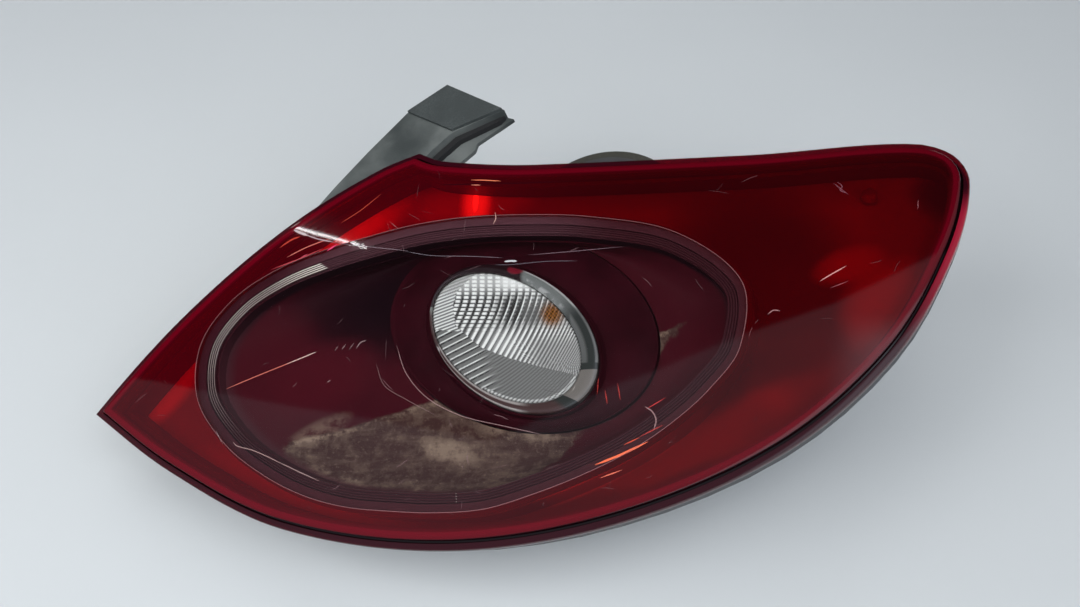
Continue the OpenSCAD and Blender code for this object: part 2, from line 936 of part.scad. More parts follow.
// Cover strip that runs up beside the boot opening
module gutter_strip() {
    color("#3a3d40")
        difference() {
            union() {
                difference() {
                    strip_frame() {
                        translate([0, 0, -strip_t])
                            linear_extrude(strip_t)
                                polygon(strip_face);
                        translate([0, 0, -rebate_d - strip_t])
                            linear_extrude(strip_t)
                                polygon(strip_ledge);
                        translate([0, 0, -rebate_d - strip_t])
                            linear_extrude(rebate_d + strip_t)
                                difference() {
                                    polygon(strip_face);
                                    offset(delta = -strip_t)
                                        polygon(strip_face);
                                }
                    }
                    along_y(y_front, y_rear)
                        rim(channel_out - gap);
                }
                strip_hem(channel_out - gap, tub_top, channel_end + gap + strip_t);
                strip_hem(tub_in - gap, channel_end + gap, channel_end + gap + strip_t);
                strip_hem(tub_in - gap, channel_end + gap, tub_depth + wall_t);
            }
            screw_places()
                cylinder(r = 2.2, h = 30, $fn = 32);
        }
}

// Hem of the strip that follows the housing's channel and wall
module strip_hem(inset, top, bottom) {
    outset = bottom - top > 2 * strip_t ? inset - strip_t : channel_out - gap - strip_t;
    intersection() {
        layer(top, bottom);
        along_y(y_front, y_rear)
            intersection() {
                difference() {
                    rim(outset);
                    rim(inset);
                }
                translate([-66, -60])
                    square([62, 120]);
            }
    }
}

module strip_pad() {
    color("#55595b")
        strip_frame()
            linear_extrude(pad_t)
                polygon(strip_end_pad);
}

// Rubber lip that lies in the rebate
module strip_lip() {
    color("#161718")
        strip_frame()
            translate([0, 0, -rebate_d])
                linear_extrude(3.4)
                    polygon([[49, 64.6], [18, 53.2], [7.2, 41.4], [4.5, 37.5], [8.3, 35.5], [11, 39],
                        [21, 49.6], [46, 60.6]]);
}

module strip_screws() {
    color("#8d9094")
        screw_places() {
            translate([0, 0, -4.8])
                cylinder(r = 1.8, h = gap + strip_t + 4.9, $fn = 32);
            translate([0, 0, gap + strip_t])
                cylinder(r = 4, h = 2.2, $fn = 6);
        }
}

housing();
lens_bond();
outer_lens();
lens_window();
zone_reflector();
ring_bezel();
light_ring();
bowl_collar();
indicator_reflector();
indicator_lens();
chrome_ring();
indicator_bulb();
tail_bulb();
brake_bulb();
side_bulb();
brake_socket();
side_socket();
bulb_carrier();
carrier_gasket();
carrier_clips();
contact_strips();
connector_pins();
seal_ring();
mounting_studs();
stud_washers();
vent_cap();
gutter_strip();
strip_pad();
strip_lip();
strip_screws();
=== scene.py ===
import math
import random

import bpy
import numpy as np
from mathutils import Matrix, Vector


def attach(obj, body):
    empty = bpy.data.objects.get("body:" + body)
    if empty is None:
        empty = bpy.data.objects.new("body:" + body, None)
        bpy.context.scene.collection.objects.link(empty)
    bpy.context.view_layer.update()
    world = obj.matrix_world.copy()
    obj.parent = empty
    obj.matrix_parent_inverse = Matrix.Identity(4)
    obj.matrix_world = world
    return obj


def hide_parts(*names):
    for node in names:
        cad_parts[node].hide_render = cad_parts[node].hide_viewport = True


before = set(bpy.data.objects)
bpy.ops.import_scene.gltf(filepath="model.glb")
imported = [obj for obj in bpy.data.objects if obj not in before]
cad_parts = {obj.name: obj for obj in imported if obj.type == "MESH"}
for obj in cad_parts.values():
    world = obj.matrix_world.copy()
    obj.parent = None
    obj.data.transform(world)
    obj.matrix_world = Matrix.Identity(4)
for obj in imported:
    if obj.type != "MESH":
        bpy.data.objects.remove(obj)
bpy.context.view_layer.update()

# The part's frame: +X outboard, +Y into the body, +Z up. Sizes here are in millimetres.
mm = 0.001


# Camera
camera = {
    "place": (268.4, -603.1, -236.2),
    "target": (86.2, -102.6, -63.2),
    "lens": 35,
    "sensor": 36,
}
bpy.ops.object.camera_add(location=[v * mm for v in camera["place"]])
cameraObject = bpy.context.object
towards = Vector(camera["target"]) - Vector(camera["place"])
cameraObject.rotation_euler = towards.to_track_quat("-Z", "Y").to_euler()
cameraObject.data.lens = camera["lens"]
cameraObject.data.sensor_width = camera["sensor"]
cameraObject.data.clip_start = 0.01
bpy.context.scene.camera = cameraObject
print("camera set")


# Shader building: a socket whose arithmetic adds Math nodes
class Value:
    def __init__(self, finish, socket):
        self.finish = finish
        self.socket = socket

    def math(self, operation, *others):
        return self.finish.math(operation, self, *others)

    def __add__(self, other):
        return self.math("ADD", other)

    __radd__ = __add__

    def __mul__(self, other):
        return self.math("MULTIPLY", other)

    __rmul__ = __mul__

    def __sub__(self, other):
        return self.math("SUBTRACT", other)

    def __rsub__(self, other):
        return self.finish.math("SUBTRACT", other, self)

    def __truediv__(self, other):
        return self.math("DIVIDE", other)

    def __pow__(self, other):
        return self.math("POWER", other)

    def clamp(self):
        return self.finish.math("MULTIPLY", self, 1, clamp=True)

    def step(self, low, high):
        return self.finish.step(self, low, high)


class Finish:
    def __init__(self, name, tree=None):
        if tree is None:
            self.material = bpy.data.materials.new(name)
            self.material.use_nodes = True
            tree = self.material.node_tree
        self.tree = tree
        tree.nodes.clear()

    def node(self, kind, settings=None, **inputs):
        n = self.tree.nodes.new(kind)
        for key, value in (settings or {}).items():
            setattr(n, key, value)
        for key, value in inputs.items():
            self.put(n, key, value)
        return n

    def put(self, n, key, value):
        name = key.replace("_", " ")
        socket = n.inputs[int(name[1:])] if name[0] == "i" and name[1:].isdigit() else n.inputs[name]
        if isinstance(value, Value):
            self.tree.links.new(value.socket, socket)
        elif isinstance(value, bpy.types.NodeSocket):
            self.tree.links.new(value, socket)
        elif isinstance(value, (tuple, list)) and len(value) == 3 and len(socket.default_value) == 4:
            socket.default_value = (*value, 1)
        else:
            socket.default_value = value

    def math(self, operation, *values, clamp=False):
        n = self.node("ShaderNodeMath", {"operation": operation, "use_clamp": clamp})
        for i, value in enumerate(values):
            self.put(n, f"i{i}", value)
        return Value(self, n.outputs[0])

    def step(self, value, low, high):
        smoothly = {"interpolation_type": "SMOOTHSTEP"}
        n = self.node("ShaderNodeMapRange", smoothly, i0=value, i1=low, i2=high, i3=0.0, i4=1.0)
        return Value(self, n.outputs[0])

    def coords(self, turn=(0, 0, 0), scale=(1, 1, 1)):
        source = self.node("ShaderNodeTexCoord").outputs["Object"]
        return self.node("ShaderNodeMapping", Vector=source, Rotation=turn, Scale=scale).outputs[0]

    def axes(self):
        n = self.node("ShaderNodeSeparateXYZ", i0=self.node("ShaderNodeTexCoord").outputs["Object"])
        return [Value(self, n.outputs[i]) * (1 / mm) for i in range(3)]

    def noise(self, scale, detail, rough=0.5, vector=None):
        where = vector or self.coords()
        n = self.node("ShaderNodeTexNoise", Vector=where, Scale=scale, Detail=detail, Roughness=rough)
        return Value(self, n.outputs[0])

    def ownMarks(self):
        return self.node("ShaderNodeAttribute", {"attribute_name": "marks"}).outputs

    def marks(self):
        n = self.node("ShaderNodeSeparateColor", Color=self.ownMarks()["Color"])
        return [Value(self, n.outputs[i]) for i in range(3)]

    def mixColour(self, amount, a, b):
        n = self.node("ShaderNodeMix", {"data_type": "RGBA"})
        self.put(n, "i0", amount)
        self.put(n, "i6", a)
        self.put(n, "i7", b)
        return n.outputs[2]

    def bump(self, height, distance, strength):
        return self.node("ShaderNodeBump", Height=height, Distance=distance, Strength=strength).outputs[0]

    def principled(self, **inputs):
        return self.node("ShaderNodeBsdfPrincipled", **inputs).outputs[0]

    def clear(self, colour=(1, 1, 1)):
        return self.node("ShaderNodeBsdfTransparent", Color=colour).outputs[0]

    def gloss(self, roughness, **inputs):
        return self.node("ShaderNodeBsdfGlossy", Color=(1, 1, 1), Roughness=roughness, **inputs).outputs[0]

    def facing(self):
        return Value(self, self.node("ShaderNodeLayerWeight").outputs["Facing"])

    def behind(self):
        return Value(self, self.node("ShaderNodeNewGeometry").outputs["Backfacing"])

    def mixShader(self, amount, a, b):
        n = self.node("ShaderNodeMixShader")
        self.put(n, "i0", amount)
        self.put(n, "i1", a)
        self.put(n, "i2", b)
        return n.outputs[0]

    def surface(self, shader):
        out = self.node("ShaderNodeOutputMaterial")
        self.put(out, "Surface", shader)
        return self.material

    def paint(self, **inputs):
        return self.surface(self.principled(**inputs))


# Lens surface: a torus round the corner of the car, and layers under it
lens = {
    "wrapRadius": 950,
    "crownRadius": 440,
    "crownHeight": -88,
    "wrapX": -130,
    "reach": 125,
    "wall": 3,
}
wrapY = lens["wrapRadius"] - lens["reach"]


def layerY(x, z, depth):
    high = np.sqrt((lens["crownRadius"] - depth) ** 2 - (z - lens["crownHeight"]) ** 2)
    radius = lens["wrapRadius"] - lens["crownRadius"] + high
    return wrapY - np.sqrt(radius**2 - (x - lens["wrapX"]) ** 2)


def onLayer(points, depth):
    x, z = points[:, 0], points[:, 1]
    return np.column_stack([x, layerY(x, z, depth), z])


# Rim of the lamp, through the CAD outline's points, a hair inside it at the outboard end
rimInboard = [(-187, -107), (-128, -50), (-68, 1), (-18, 34), (5, 44)]
rimOutboard = [
    (5, 44), (22, 36), (78, 29), (194, 32), (284, 44), (305, 37), (311.9, 18), (298, -30),
    (262, -91), (202, -143), (118, -178), (30, -190), (-60, -177), (-130, -144), (-187, -107),
]


# Smooth curve through the points, without its last one
def smoothCurve(points, steps):
    p = np.array(points, float)
    lengths = np.linalg.norm(np.diff(p, axis=0), axis=1)
    slopes = [(p[1] - p[0]) / lengths[0]]
    for i in range(1, len(p) - 1):
        slopes.append((p[i + 1] - p[i - 1]) / (lengths[i - 1] + lengths[i]))
    slopes.append((p[-1] - p[-2]) / lengths[-1])
    curve = []
    for i, d in enumerate(lengths):
        for t in np.arange(steps) / steps:
            s, c = t * t, t**3
            curve.append(
                (2 * c - 3 * s + 1) * p[i]
                + (c - 2 * s + t) * d * slopes[i]
                + (3 * s - 2 * c) * p[i + 1]
                + (c - s) * d * slopes[i + 1]
            )
    return curve


rimPoints = np.array(smoothCurve(rimInboard, 16) + smoothCurve(rimOutboard, 16))


# Rays from the window's centre: each ring of the lens has one point on each
window = {"centre": (40, -88), "rings": 20}
windowOutline = [
    (186, -88), (188.3, -51), (155.2, -21.5), (110, -10.3), (72.7, -7.1), (40, -6.7), (11.4, -9.3),
    (-13.5, -14.3), (-40.3, -20.6), (-68.8, -30.2), (-95.3, -46.6), (-112.8, -71.9), (-111.7, -103.9),
    (-92, -130.9), (-68.7, -148.3), (-45.7, -159.9), (-21.7, -166.9), (3.6, -169.9), (28.3, -171.3),
    (54.4, -169.9), (79.8, -162.9), (103.8, -154.1), (127.7, -142.8), (150.1, -128.1), (169.5, -110.8),
]


# Angles of the rays, close together at the lamp's two corners
def rayAngles():
    centre = np.array(window["centre"])
    angles = list(np.linspace(-180, 180, 400, endpoint=False))
    for corner in (rimInboard[0], rimInboard[-1]):
        out = np.array(corner) - centre
        angle = math.degrees(math.atan2(out[1], out[0]))
        angles += list(angle + np.linspace(-4, 4, 33))
    return np.radians(np.unique(np.round(angles, 4)))


rays = rayAngles()
rayDirections = np.column_stack([np.cos(rays), np.sin(rays)])


def rimDistance(points):
    a = rimPoints
    b = np.roll(rimPoints, -1, axis=0)
    run = b - a
    t = ((points[:, None] - a) * run).sum(2) / (run**2).sum(1)
    foot = a + np.clip(t, 0, 1)[..., None] * run
    return np.linalg.norm(points[:, None] - foot, axis=2).min(1)


# Distance from the window's centre to the rim on each ray, or to a line this far inside it
def rimRadii(inset):
    centre = np.array(window["centre"], float)
    low, high = np.full(len(rays), 60.0), np.full(len(rays), 300.0)
    a, b = rimPoints - centre, np.roll(rimPoints, -1, axis=0) - centre
    for i, d in enumerate(rayDirections):
        crossA = d[0] * a[:, 1] - d[1] * a[:, 0]
        crossB = d[0] * b[:, 1] - d[1] * b[:, 0]
        hit = (crossA <= 0) & (crossB > 0) | (crossA > 0) & (crossB <= 0)
        t = crossA[hit] / (crossA[hit] - crossB[hit])
        along = ((a[hit] + t[:, None] * (b[hit] - a[hit])) * d).sum(1)
        high[i] = along[along > 0].min()
    if inset == 0:
        return high
    for _ in range(24):
        mid = (low + high) / 2
        inside = rimDistance(centre + rayDirections * mid[:, None]) > inset
        low, high = np.where(inside, mid, low), np.where(inside, high, mid)
    return low


def ellipsePoints(centre, long, short, tilt, angles):
    t = math.radians(tilt)
    u, w = long * np.cos(angles - t), short * np.sin(angles - t)
    return np.column_stack(
        [centre[0] + u * math.cos(t) - w * math.sin(t), centre[1] + u * math.sin(t) + w * math.cos(t)]
    )


# Distance from the window's centre to its outline, at each angle
def windowReach(angles):
    steps = 12
    around = windowOutline[-3:] + windowOutline + windowOutline[:3]
    curve = np.array(smoothCurve(around, steps))[3 * steps : (3 + len(windowOutline)) * steps]
    curve = curve - np.array(window["centre"])
    turns = np.arctan2(curve[:, 1], curve[:, 0])
    return np.interp(angles, turns, np.hypot(curve[:, 0], curve[:, 1]), period=2 * math.pi)


def windowRadii(grow=0.0):
    return windowReach(rays) + grow


def rayRing(radii, depth):
    return onLayer(np.array(window["centre"]) + rayDirections * radii[:, None], depth)


# Mesh building
def only(piece):
    bpy.ops.object.select_all(action="DESELECT")
    piece.select_set(True)
    bpy.context.view_layer.objects.active = piece


def smooth(piece, angle=30):
    only(piece)
    bpy.ops.object.shade_smooth_by_angle(angle=math.radians(angle))


# Four numbers for each vertex, which the finish reads
def mark(piece, values):
    attribute = piece.data.attributes.new(name="marks", type="FLOAT_COLOR", domain="POINT")
    attribute.data.foreach_set("color", values.astype(np.float32).ravel())


# A grid wrapped on rings of points, closed round each ring, and from last to first if asked
def loft(name, rings, closed=True, angle=30, marks=None):
    rows = [np.asarray(r, float) for r in rings]
    if closed:
        rows.append(rows[0])
    across, up = len(rows[0]), len(rows) - 1
    bpy.ops.object.select_all(action="DESELECT")
    bpy.ops.mesh.primitive_grid_add(x_subdivisions=across, y_subdivisions=up, size=1)
    piece = bpy.context.object
    piece.name = name
    points = np.array([np.vstack([row, row[:1]]) for row in rows]).reshape(-1, 3) * mm
    piece.data.vertices.foreach_set("co", points.astype(np.float32).ravel())
    if marks is not None:
        marks = list(marks) + [marks[0]] * (len(rows) - len(marks))
        mark(piece, np.repeat(np.array(marks, float), across + 1, axis=0))
    bpy.ops.object.mode_set(mode="EDIT")
    bpy.ops.mesh.select_all(action="SELECT")
    bpy.ops.mesh.remove_doubles(threshold=1e-6)
    bpy.ops.mesh.normals_make_consistent(inside=False)
    bpy.ops.object.mode_set(mode="OBJECT")
    smooth(piece, angle)
    return piece


def dress(piece, material, node=None):
    piece.data.materials.clear()
    piece.data.materials.append(material)
    if node:
        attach(piece, "root")
        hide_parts(node)
    return piece


# Finishes. Gloss over the outer face of a clear shell, and nothing on its inner face
shellLook = {"ripple": 14, "depth": 0.0006, "strength": 0.25, "edgeOn": 0.9, "straightOn": 0.045}


def shellGloss(f, inside, roughness):
    outside = 1 - f.behind()
    ripple = f.bump(f.noise(shellLook["ripple"], 2), shellLook["depth"], shellLook["strength"])
    shine = (f.facing() ** 5 * shellLook["edgeOn"] + shellLook["straightOn"]) * outside
    return f.mixShader(outside, f.clear(), f.mixShader(shine, inside, f.gloss(roughness, Normal=ripple)))


# Red plastic: clear over the field, with body in it; the rim bead, its groove and the skirt are marked
# Painted shade darkens the groove and the bead's top; painted light brightens the bead on the outboard side
redLook = {
    "clear": (0.74, 0.002, 0.006),
    "body": (0.25, 0.0, 0.012),
    "bodyShare": 0.07,
    "leftShare": 0.09,
    "beadShadedTop": (0.028, 0.002, 0.006),
    "beadLitSide": (0.34, 0.012, 0.034),
    "groove": (0.006, 0.002, 0.003),
    "gloss": 0.045,
}


def redPlastic():
    f = Finish("redPlastic")
    bead, groove, skirt = f.marks()
    x, y, z = f.axes()
    # painted light on the bead's outboard side, painted shade along its top
    outboard = (x - 262).step(0, 40) * (1 - (z + 8).step(0, 22))
    rim = f.mixColour(outboard, redLook["beadShadedTop"], redLook["beadLitSide"])
    field = f.mixColour(bead, redLook["body"], rim)
    body = f.principled(
        Base_Color=f.mixColour(groove, field, redLook["groove"]), Roughness=0.35, Specular_IOR_Level=0.0
    )
    left = (1 - (x - 10).step(0, 130)) * redLook["leftShare"]
    share = (bead * 0.8 + groove * 0.85 + skirt * 0.25 + left + redLook["bodyShare"]).clamp()
    return f.surface(shellGloss(f, f.mixShader(share, f.clear(redLook["clear"]), body), redLook["gloss"]))


smokeLook = {"clear": (0.93, 0.905, 0.91), "film": (0.12, 0.04, 0.05), "filmShare": 0.02, "gloss": 0.05}


def smokedPlastic():
    f = Finish("smokedPlastic")
    film = f.principled(Base_Color=smokeLook["film"], Roughness=0.5, Specular_IOR_Level=0.0)
    inside = f.mixShader(smokeLook["filmShare"], f.clear(smokeLook["clear"]), film)
    return f.surface(shellGloss(f, inside, smokeLook["gloss"]))


# Soft ovals of other levels, each (x, z, half length, half width, tilt, level)
def softPlaces(f, level, places):
    x, y, z = f.axes()
    for px, pz, long, short, tilt, value in places:
        t = math.radians(tilt)
        u = ((x - px) * math.cos(t) + (z - pz) * math.sin(t)) / long
        w = ((z - pz) * math.cos(t) - (x - px) * math.sin(t)) / short
        near = 1 - (u * u + w * w).step(0.0, 1.0)
        level = level + (value - level) * near
    return level


# The plain band round the window, with painted light and shade: lighter at its top, darker at its left and
# bottom
bandShadeLook = {"top": (0.085, 0.034, 0.044), "bottom": (0.050, 0.012, 0.017), "left": (0.040, 0.008, 0.013)}


def bandShadedColour(f, x, z):
    left = (x * -1 - 30).step(0, 50)
    top = (z + 70).step(0, 30) * (1 - (x - 78).step(0, 50))
    return f.mixColour(left, f.mixColour(top, bandShadeLook["bottom"], bandShadeLook["top"]), bandShadeLook["left"])


# Bowl: painted red glow and shade by place, with a film of dust low down and smears in it
bowlLook = {
    "dark": (0.006, 0.002, 0.004),
    "red": (0.092, 0.006, 0.013),
    "redLevel": 0.42,
    "redPlaces": [
        (0, -45, 96, 44, 8, 0.0),
        (125, -55, 46, 50, -20, 0.45),
        (-82, -85, 40, 60, 20, 0.5),
        (-50, -90, 40, 26, 20, 0.6),
        (150, -105, 60, 30, 40, 0.5),
    ],
    "film": (0.046, 0.026, 0.022),
    "dust": (0.25, 0.19, 0.14),
    "smears": [
        (24, -135, 22, 8, -16, 1.0),
        (66, -124, 32, 8, -8, 1.0),
        (-32, -150, 22, 5, -22, 0.8),
        (-48, -122, 22, 8, 30, 0.7),
        (8, -166, 5, 15, -38, 1.0),
    ],
    "wallShadedTop": (0.008, 0.003, 0.005),
    "wallLitBottom": (0.060, 0.018, 0.024),
}


def bowlPlastic():
    f = Finish("bowlPlastic")
    x, y, z = f.axes()
    cloud = f.noise(22, 4, 0.6)
    grain = f.noise(420, 5, 0.8)
    crust = f.noise(95, 6, 0.72)
    drag = f.noise(30, 4, 0.6, vector=f.coords(turn=(0, math.radians(35), 0), scale=(1, 1, 6)))
    # painted red glow and shade by place
    level = softPlaces(f, bowlLook["redLevel"], bowlLook["redPlaces"])
    red = f.mixColour(level.clamp(), bowlLook["dark"], bowlLook["red"])
    edge = z + 112 - x * 0.30 + (cloud - 0.5) * 18 + (crust - 0.5) * 7  # the film lies below this line
    left = x + 64 + (crust - 0.5) * 12
    right = 92 - x + (z + 135) * 0.9 + (cloud - 0.5) * 60 + (crust - 0.5) * 30
    film = (1 - edge.step(-1.0, 1.0)) * left.step(-2, 2) * right.step(-3, 3)
    brim = film * edge.step(-4, -0.5) * crust.step(0.42, 0.6)
    patch = film * (crust.step(0.44, 0.62) * 0.5 + drag.step(0.45, 0.7) * 0.4)
    smear = softPlaces(f, 0.0, bowlLook["smears"]) * (crust * 0.6 + drag * 0.4).step(0.40, 0.56)
    speck = (grain.step(0.56, 0.66) * film * 0.8 + grain.step(0.66, 0.7) * 0.25).clamp()
    dust = (patch * 0.42 + smear * 0.6 + brim * 0.5 + speck * 0.34).clamp()
    colour = f.mixColour(dust, f.mixColour(film * 0.85, red, bowlLook["film"]), bowlLook["dust"])
    wall, band = f.marks()[:2]  # the step's wall, and the land round the window
    colour = f.mixColour(band, colour, bandShadedColour(f, x, z))
    # painted shade on the step's wall, darker towards its top
    shade = f.mixColour((z + 100).step(0, 60), bowlLook["wallLitBottom"], bowlLook["wallShadedTop"])
    return f.paint(
        Base_Color=f.mixColour(wall, colour, shade),
        Roughness=0.35 + film * 0.4,
        Specular_IOR_Level=0.05,
        Normal=f.bump(crust, 0.0004, 0.15),
    )


def plainPlastic(name, colour, roughness, grainScale=900, grainDepth=0.0003, mottle=0.25, shine=0.5):
    f = Finish(name)
    grain = f.noise(grainScale, 3)
    patch = f.noise(35, 4)
    dark = tuple(v * (1 - mottle) for v in colour)
    light = tuple(v * (1 + mottle) for v in colour)
    return f.paint(
        Base_Color=f.mixColour(patch.step(0.3, 0.7), dark, light),
        Roughness=patch * 0.15 + (roughness - 0.07),
        Specular_IOR_Level=shine,
        Normal=f.bump(grain, grainDepth, 0.35),
    )


def metal(name, colour, roughness, brushed=0.0):
    f = Finish(name)
    streaks = f.noise(60, 3, vector=f.coords(scale=(1, 1, 12)))
    return f.paint(
        Base_Color=f.mixColour(streaks.step(0.3, 0.7), tuple(v * 0.85 for v in colour), colour),
        Metallic=1.0,
        Roughness=streaks * 0.12 + (roughness - 0.05),
        Normal=f.bump(streaks, 0.0002, brushed),
    )


# Metal behind the red field: painted light and shade by place, and a painted glow where the level passes a
# set value
zoneLook = {
    "level": 0.18,
    "places": [
        (165, 25, 140, 26, 0, 0.11),
        (195, -20, 66, 52, -20, 0.04),
        (215, -62, 44, 44, 0, 0.05),
        (275, -15, 34, 60, -10, 0.14),
        (242, -31, 26, 13, 25, 0.30),
        (296, 18, 22, 22, 0, 0.02),
        (262, -55, 40, 28, 50, 0.34),
        (186, -100, 66, 17, 32, 0.08),
        (172, -131, 92, 17, 25, 0.20),
        (60, -170, 120, 13, 5, 0.08),
        (140, -160, 56, 9, 26, 0.08),
        (112, -149, 42, 5, 26, 0.70),
        (-70, -155, 90, 20, -18, 0.34),
        (-128, -55, 80, 18, 42, 1.0),
        (-160, -96, 44, 16, 36, 0.75),
        (-48, 0, 56, 24, 30, 1.1),
        (30, 16, 46, 24, 6, 0.50),
        (34, 17, 12, 30, 5, 1.5),
        (33.5, 17, 2.0, 9, 4, 3.0),
    ],
    "paintedHighlight": (0.75, 2.4),
    "paintedGlow": (1.9, 5.0, 1.2),
}


def zoneMetal():
    f = Finish("zoneMetal")
    level = softPlaces(f, zoneLook["level"], zoneLook["places"])
    # painted glow: emission where the painted light passes a set level
    paintedGlow = f.mixColour(level.step(*zoneLook["paintedHighlight"]), (0, 0, 0), zoneLook["paintedGlow"])
    shade = level.clamp()
    tone = f.node("ShaderNodeCombineColor", Red=shade, Green=shade, Blue=shade).outputs[0]
    return f.paint(
        Base_Color=tone, Metallic=0.25, Roughness=0.42, Emission_Color=paintedGlow, Emission_Strength=1.0
    )


# Ribbed ring: a painted highlight where its crests catch light over an arc at the upper left, from a sharp
# end, in degrees
ribLook = {
    "clear": (0.85, 0.83, 0.84),
    "lit": (0.50, 0.46, 0.42),
    "paintedHighlight": (1.0, 0.98, 0.86),
    "start": (127.2, 128.2),
    "litFade": (140, 215),
    "highlightFade": (129, 146),
}


def ribbedClear():
    f = Finish("ribbedClear")
    x, y, z = f.axes()
    lines = f.marks()[0].step(0.5, 1.0)
    turn = f.math("ARCTAN2", z - window["centre"][1], (x - window["centre"][0]) * 0.55) * (180 / math.pi)
    turn = turn + (turn * -1 - 90).step(0, 1) * 360
    end = turn.step(*ribLook["start"])
    lit = end * (1 - turn.step(*ribLook["litFade"]))
    paintedHighlight = end * (1 - turn.step(*ribLook["highlightFade"]))
    # painted highlight on the crests over the arc; elsewhere the band's painted shade
    tone = f.mixColour(lit * lines, bandShadedColour(f, x, z), ribLook["lit"])
    tone = f.mixColour(paintedHighlight * (lines * 0.96 + 0.04), tone, ribLook["paintedHighlight"])
    film = f.principled(Base_Color=tone, Roughness=0.3, Specular_IOR_Level=0.2)
    inside = f.mixShader(0.92 - lit * (1 - lines) * 0.5, f.clear(ribLook["clear"]), film)
    return f.surface(f.mixShader(f.facing() ** 5 * 0.5 + lit * 0.15 + 0.015, inside, f.gloss(0.08)))


# The painted pieces carry their colour and their share of paint as marks
def prismPlastic():
    f = Finish("prismPlastic")
    shine = f.ownMarks()
    facets = f.principled(Base_Color=shine["Color"], Roughness=0.22)
    share = Value(f, shine["Alpha"]) * 0.45 + 0.55
    return f.surface(f.mixShader(share, f.clear((0.9, 0.91, 0.91)), facets))


def scratchAndHighlightPaint():
    f = Finish("scratchAndHighlightPaint")
    shine = f.ownMarks()
    paint = f.principled(Base_Color=shine["Color"], Roughness=0.4)
    return f.surface(f.mixShader(shine["Alpha"], f.clear(), paint))


# The small lens: its middle, how far it turns from the lamp's front, its oval and its thickness
eye = {
    "origin": (61.3, -88, -75.6),
    "turn": 14,
    "long": 46.4,
    "short": 31.2,
    "tilt": -38,
    "sheet": 3,
    "prism": 1.1,
    "columns": 640,
    "rows": 84,
    "ringDepth": 7,
}


# Places in the small lens's own plane, u to the right and w up
def eyeAxes(f):
    x, y, z = f.axes()
    px, py, pz = eye["origin"]
    t = math.radians(eye["turn"])
    return (x - px) * math.cos(t) + (y - py) * math.sin(t), z - pz


# Bright ring: what it mirrors is painted by place
chromeLook = {
    "body": (0.22, 0.25, 0.24),
    "bodyDark": (0.044, 0.056, 0.053),
    "leftLow": (0.028, 0.034, 0.032),
    "leftMiddle": (0.26, 0.28, 0.255),
    "leftTop": (0.020, 0.006, 0.008),
    "topDark": (0.016, 0.006, 0.008),
    "redPatch": (0.26, 0.012, 0.03),
    "under": (0.095, 0.060, 0.058),
    "bright": (0.75, 0.80, 0.78),
    "foot": (0.80, 0.79, 0.75),
    "spark": (0.95, 0.95, 0.92),
    "endPiece": (0.25, 0.245, 0.225),
}


def eyeChrome():
    f = Finish("eyeChrome")
    look = chromeLook
    u, w = eyeAxes(f)
    outer, inner = f.marks()[:2]
    ripple = f.noise(260, 2)
    grey = f.mixColour((u * 0.9 - w).step(2, 26), look["body"], look["bodyDark"])
    left = f.mixColour(w.step(12.6, 13.4), look["leftLow"], look["leftMiddle"])
    left = f.mixColour(w.step(18.6, 19.6), left, look["leftTop"])
    tone = f.mixColour((u * -1 - 30).step(0, 1), grey, left)
    dark = (w - 18).step(0, 2) * (u * -1 + 8).step(-1.5, 1.5)
    tone = f.mixColour(dark, tone, look["topDark"])
    patch = 1 - ((u - 5) * (u - 5) * 0.04 + (w - 39.5) * (w - 39.5) * 0.12).step(0.5, 1.3)
    tone = f.mixColour(patch * 0.8, tone, look["redPatch"])
    end = (w + 33.5 + (u - 32) * 0.49).step(-0.25, 0.25) * (u - 24).step(-1, 1)
    low = (w * -1 - 19.3).step(-0.25, 0.25) * end  # the paler end piece
    under = (w * -1 - u * 0.75 - 14).step(0, 5) * (1 - low)
    tone = f.mixColour(under, tone, look["under"])
    top = (u - 8).step(0, 3) * (w - 14).step(0, 6)
    side = (u - 34).step(0, 2) * (w + 16).step(0, 1)
    bright = outer * top + inner * top * ripple.step(0.45, 0.6) * 0.5 + (outer * 0.3 + inner * 0.15) * side
    tone = f.mixColour(bright.clamp(), tone, look["bright"])
    foot = (w * -1 - 2).step(0, 3) * (1 - low) * (1 - (u - 4).step(0, 10))
    tone = f.mixColour((foot * outer + foot * inner * 0.7).clamp(), tone, look["foot"])
    spark = 1 - ((u + 39) * (u + 39) * 0.25 + (w + 7) * (w + 7) * 0.12).step(0.2, 1.4)
    tone = f.mixColour(spark, tone, look["spark"])
    tone = f.mixColour(low * (1 - outer * 0.3), tone, look["endPiece"])
    return f.paint(Base_Color=tone, Metallic=0.3, Roughness=0.12, Coat_Weight=0.6, Coat_Roughness=0.03)


def bulbGlass(name, tint, haze):
    f = Finish(name)
    inside = f.mixShader(haze, f.clear(tint), f.principled(Base_Color=tint, Roughness=0.2))
    fresnel = f.node("ShaderNodeFresnel", IOR=1.5).outputs[0]
    return f.surface(f.mixShader(fresnel, inside, f.gloss(0.02)))


def foam(name, colour):
    f = Finish(name)
    cells = f.noise(900, 4, 0.7)
    patch = f.noise(50, 3)
    light = tuple(v * 1.7 for v in colour)
    return f.paint(
        Base_Color=f.mixColour(cells.step(0.35, 0.7) * patch.step(0.2, 0.8), colour, light),
        Roughness=0.95,
        Normal=f.bump(cells, 0.0006, 0.8),
    )


def dustyStrip():
    f = Finish("dustyStrip")
    patch = f.noise(18, 5, 0.6)
    grain = f.noise(700, 4, 0.6)
    smear = f.noise(40, 3, vector=f.coords(scale=(1, 1, 0.3)))
    dust = (patch.step(0.38, 0.68) * 0.75 + smear.step(0.5, 0.8) * 0.4).clamp()
    return f.paint(
        Base_Color=f.mixColour(dust, (0.050, 0.058, 0.058), (0.15, 0.165, 0.16)),
        Roughness=dust * 0.25 + 0.55,
        Normal=f.bump(grain, 0.0003, 0.4),
    )


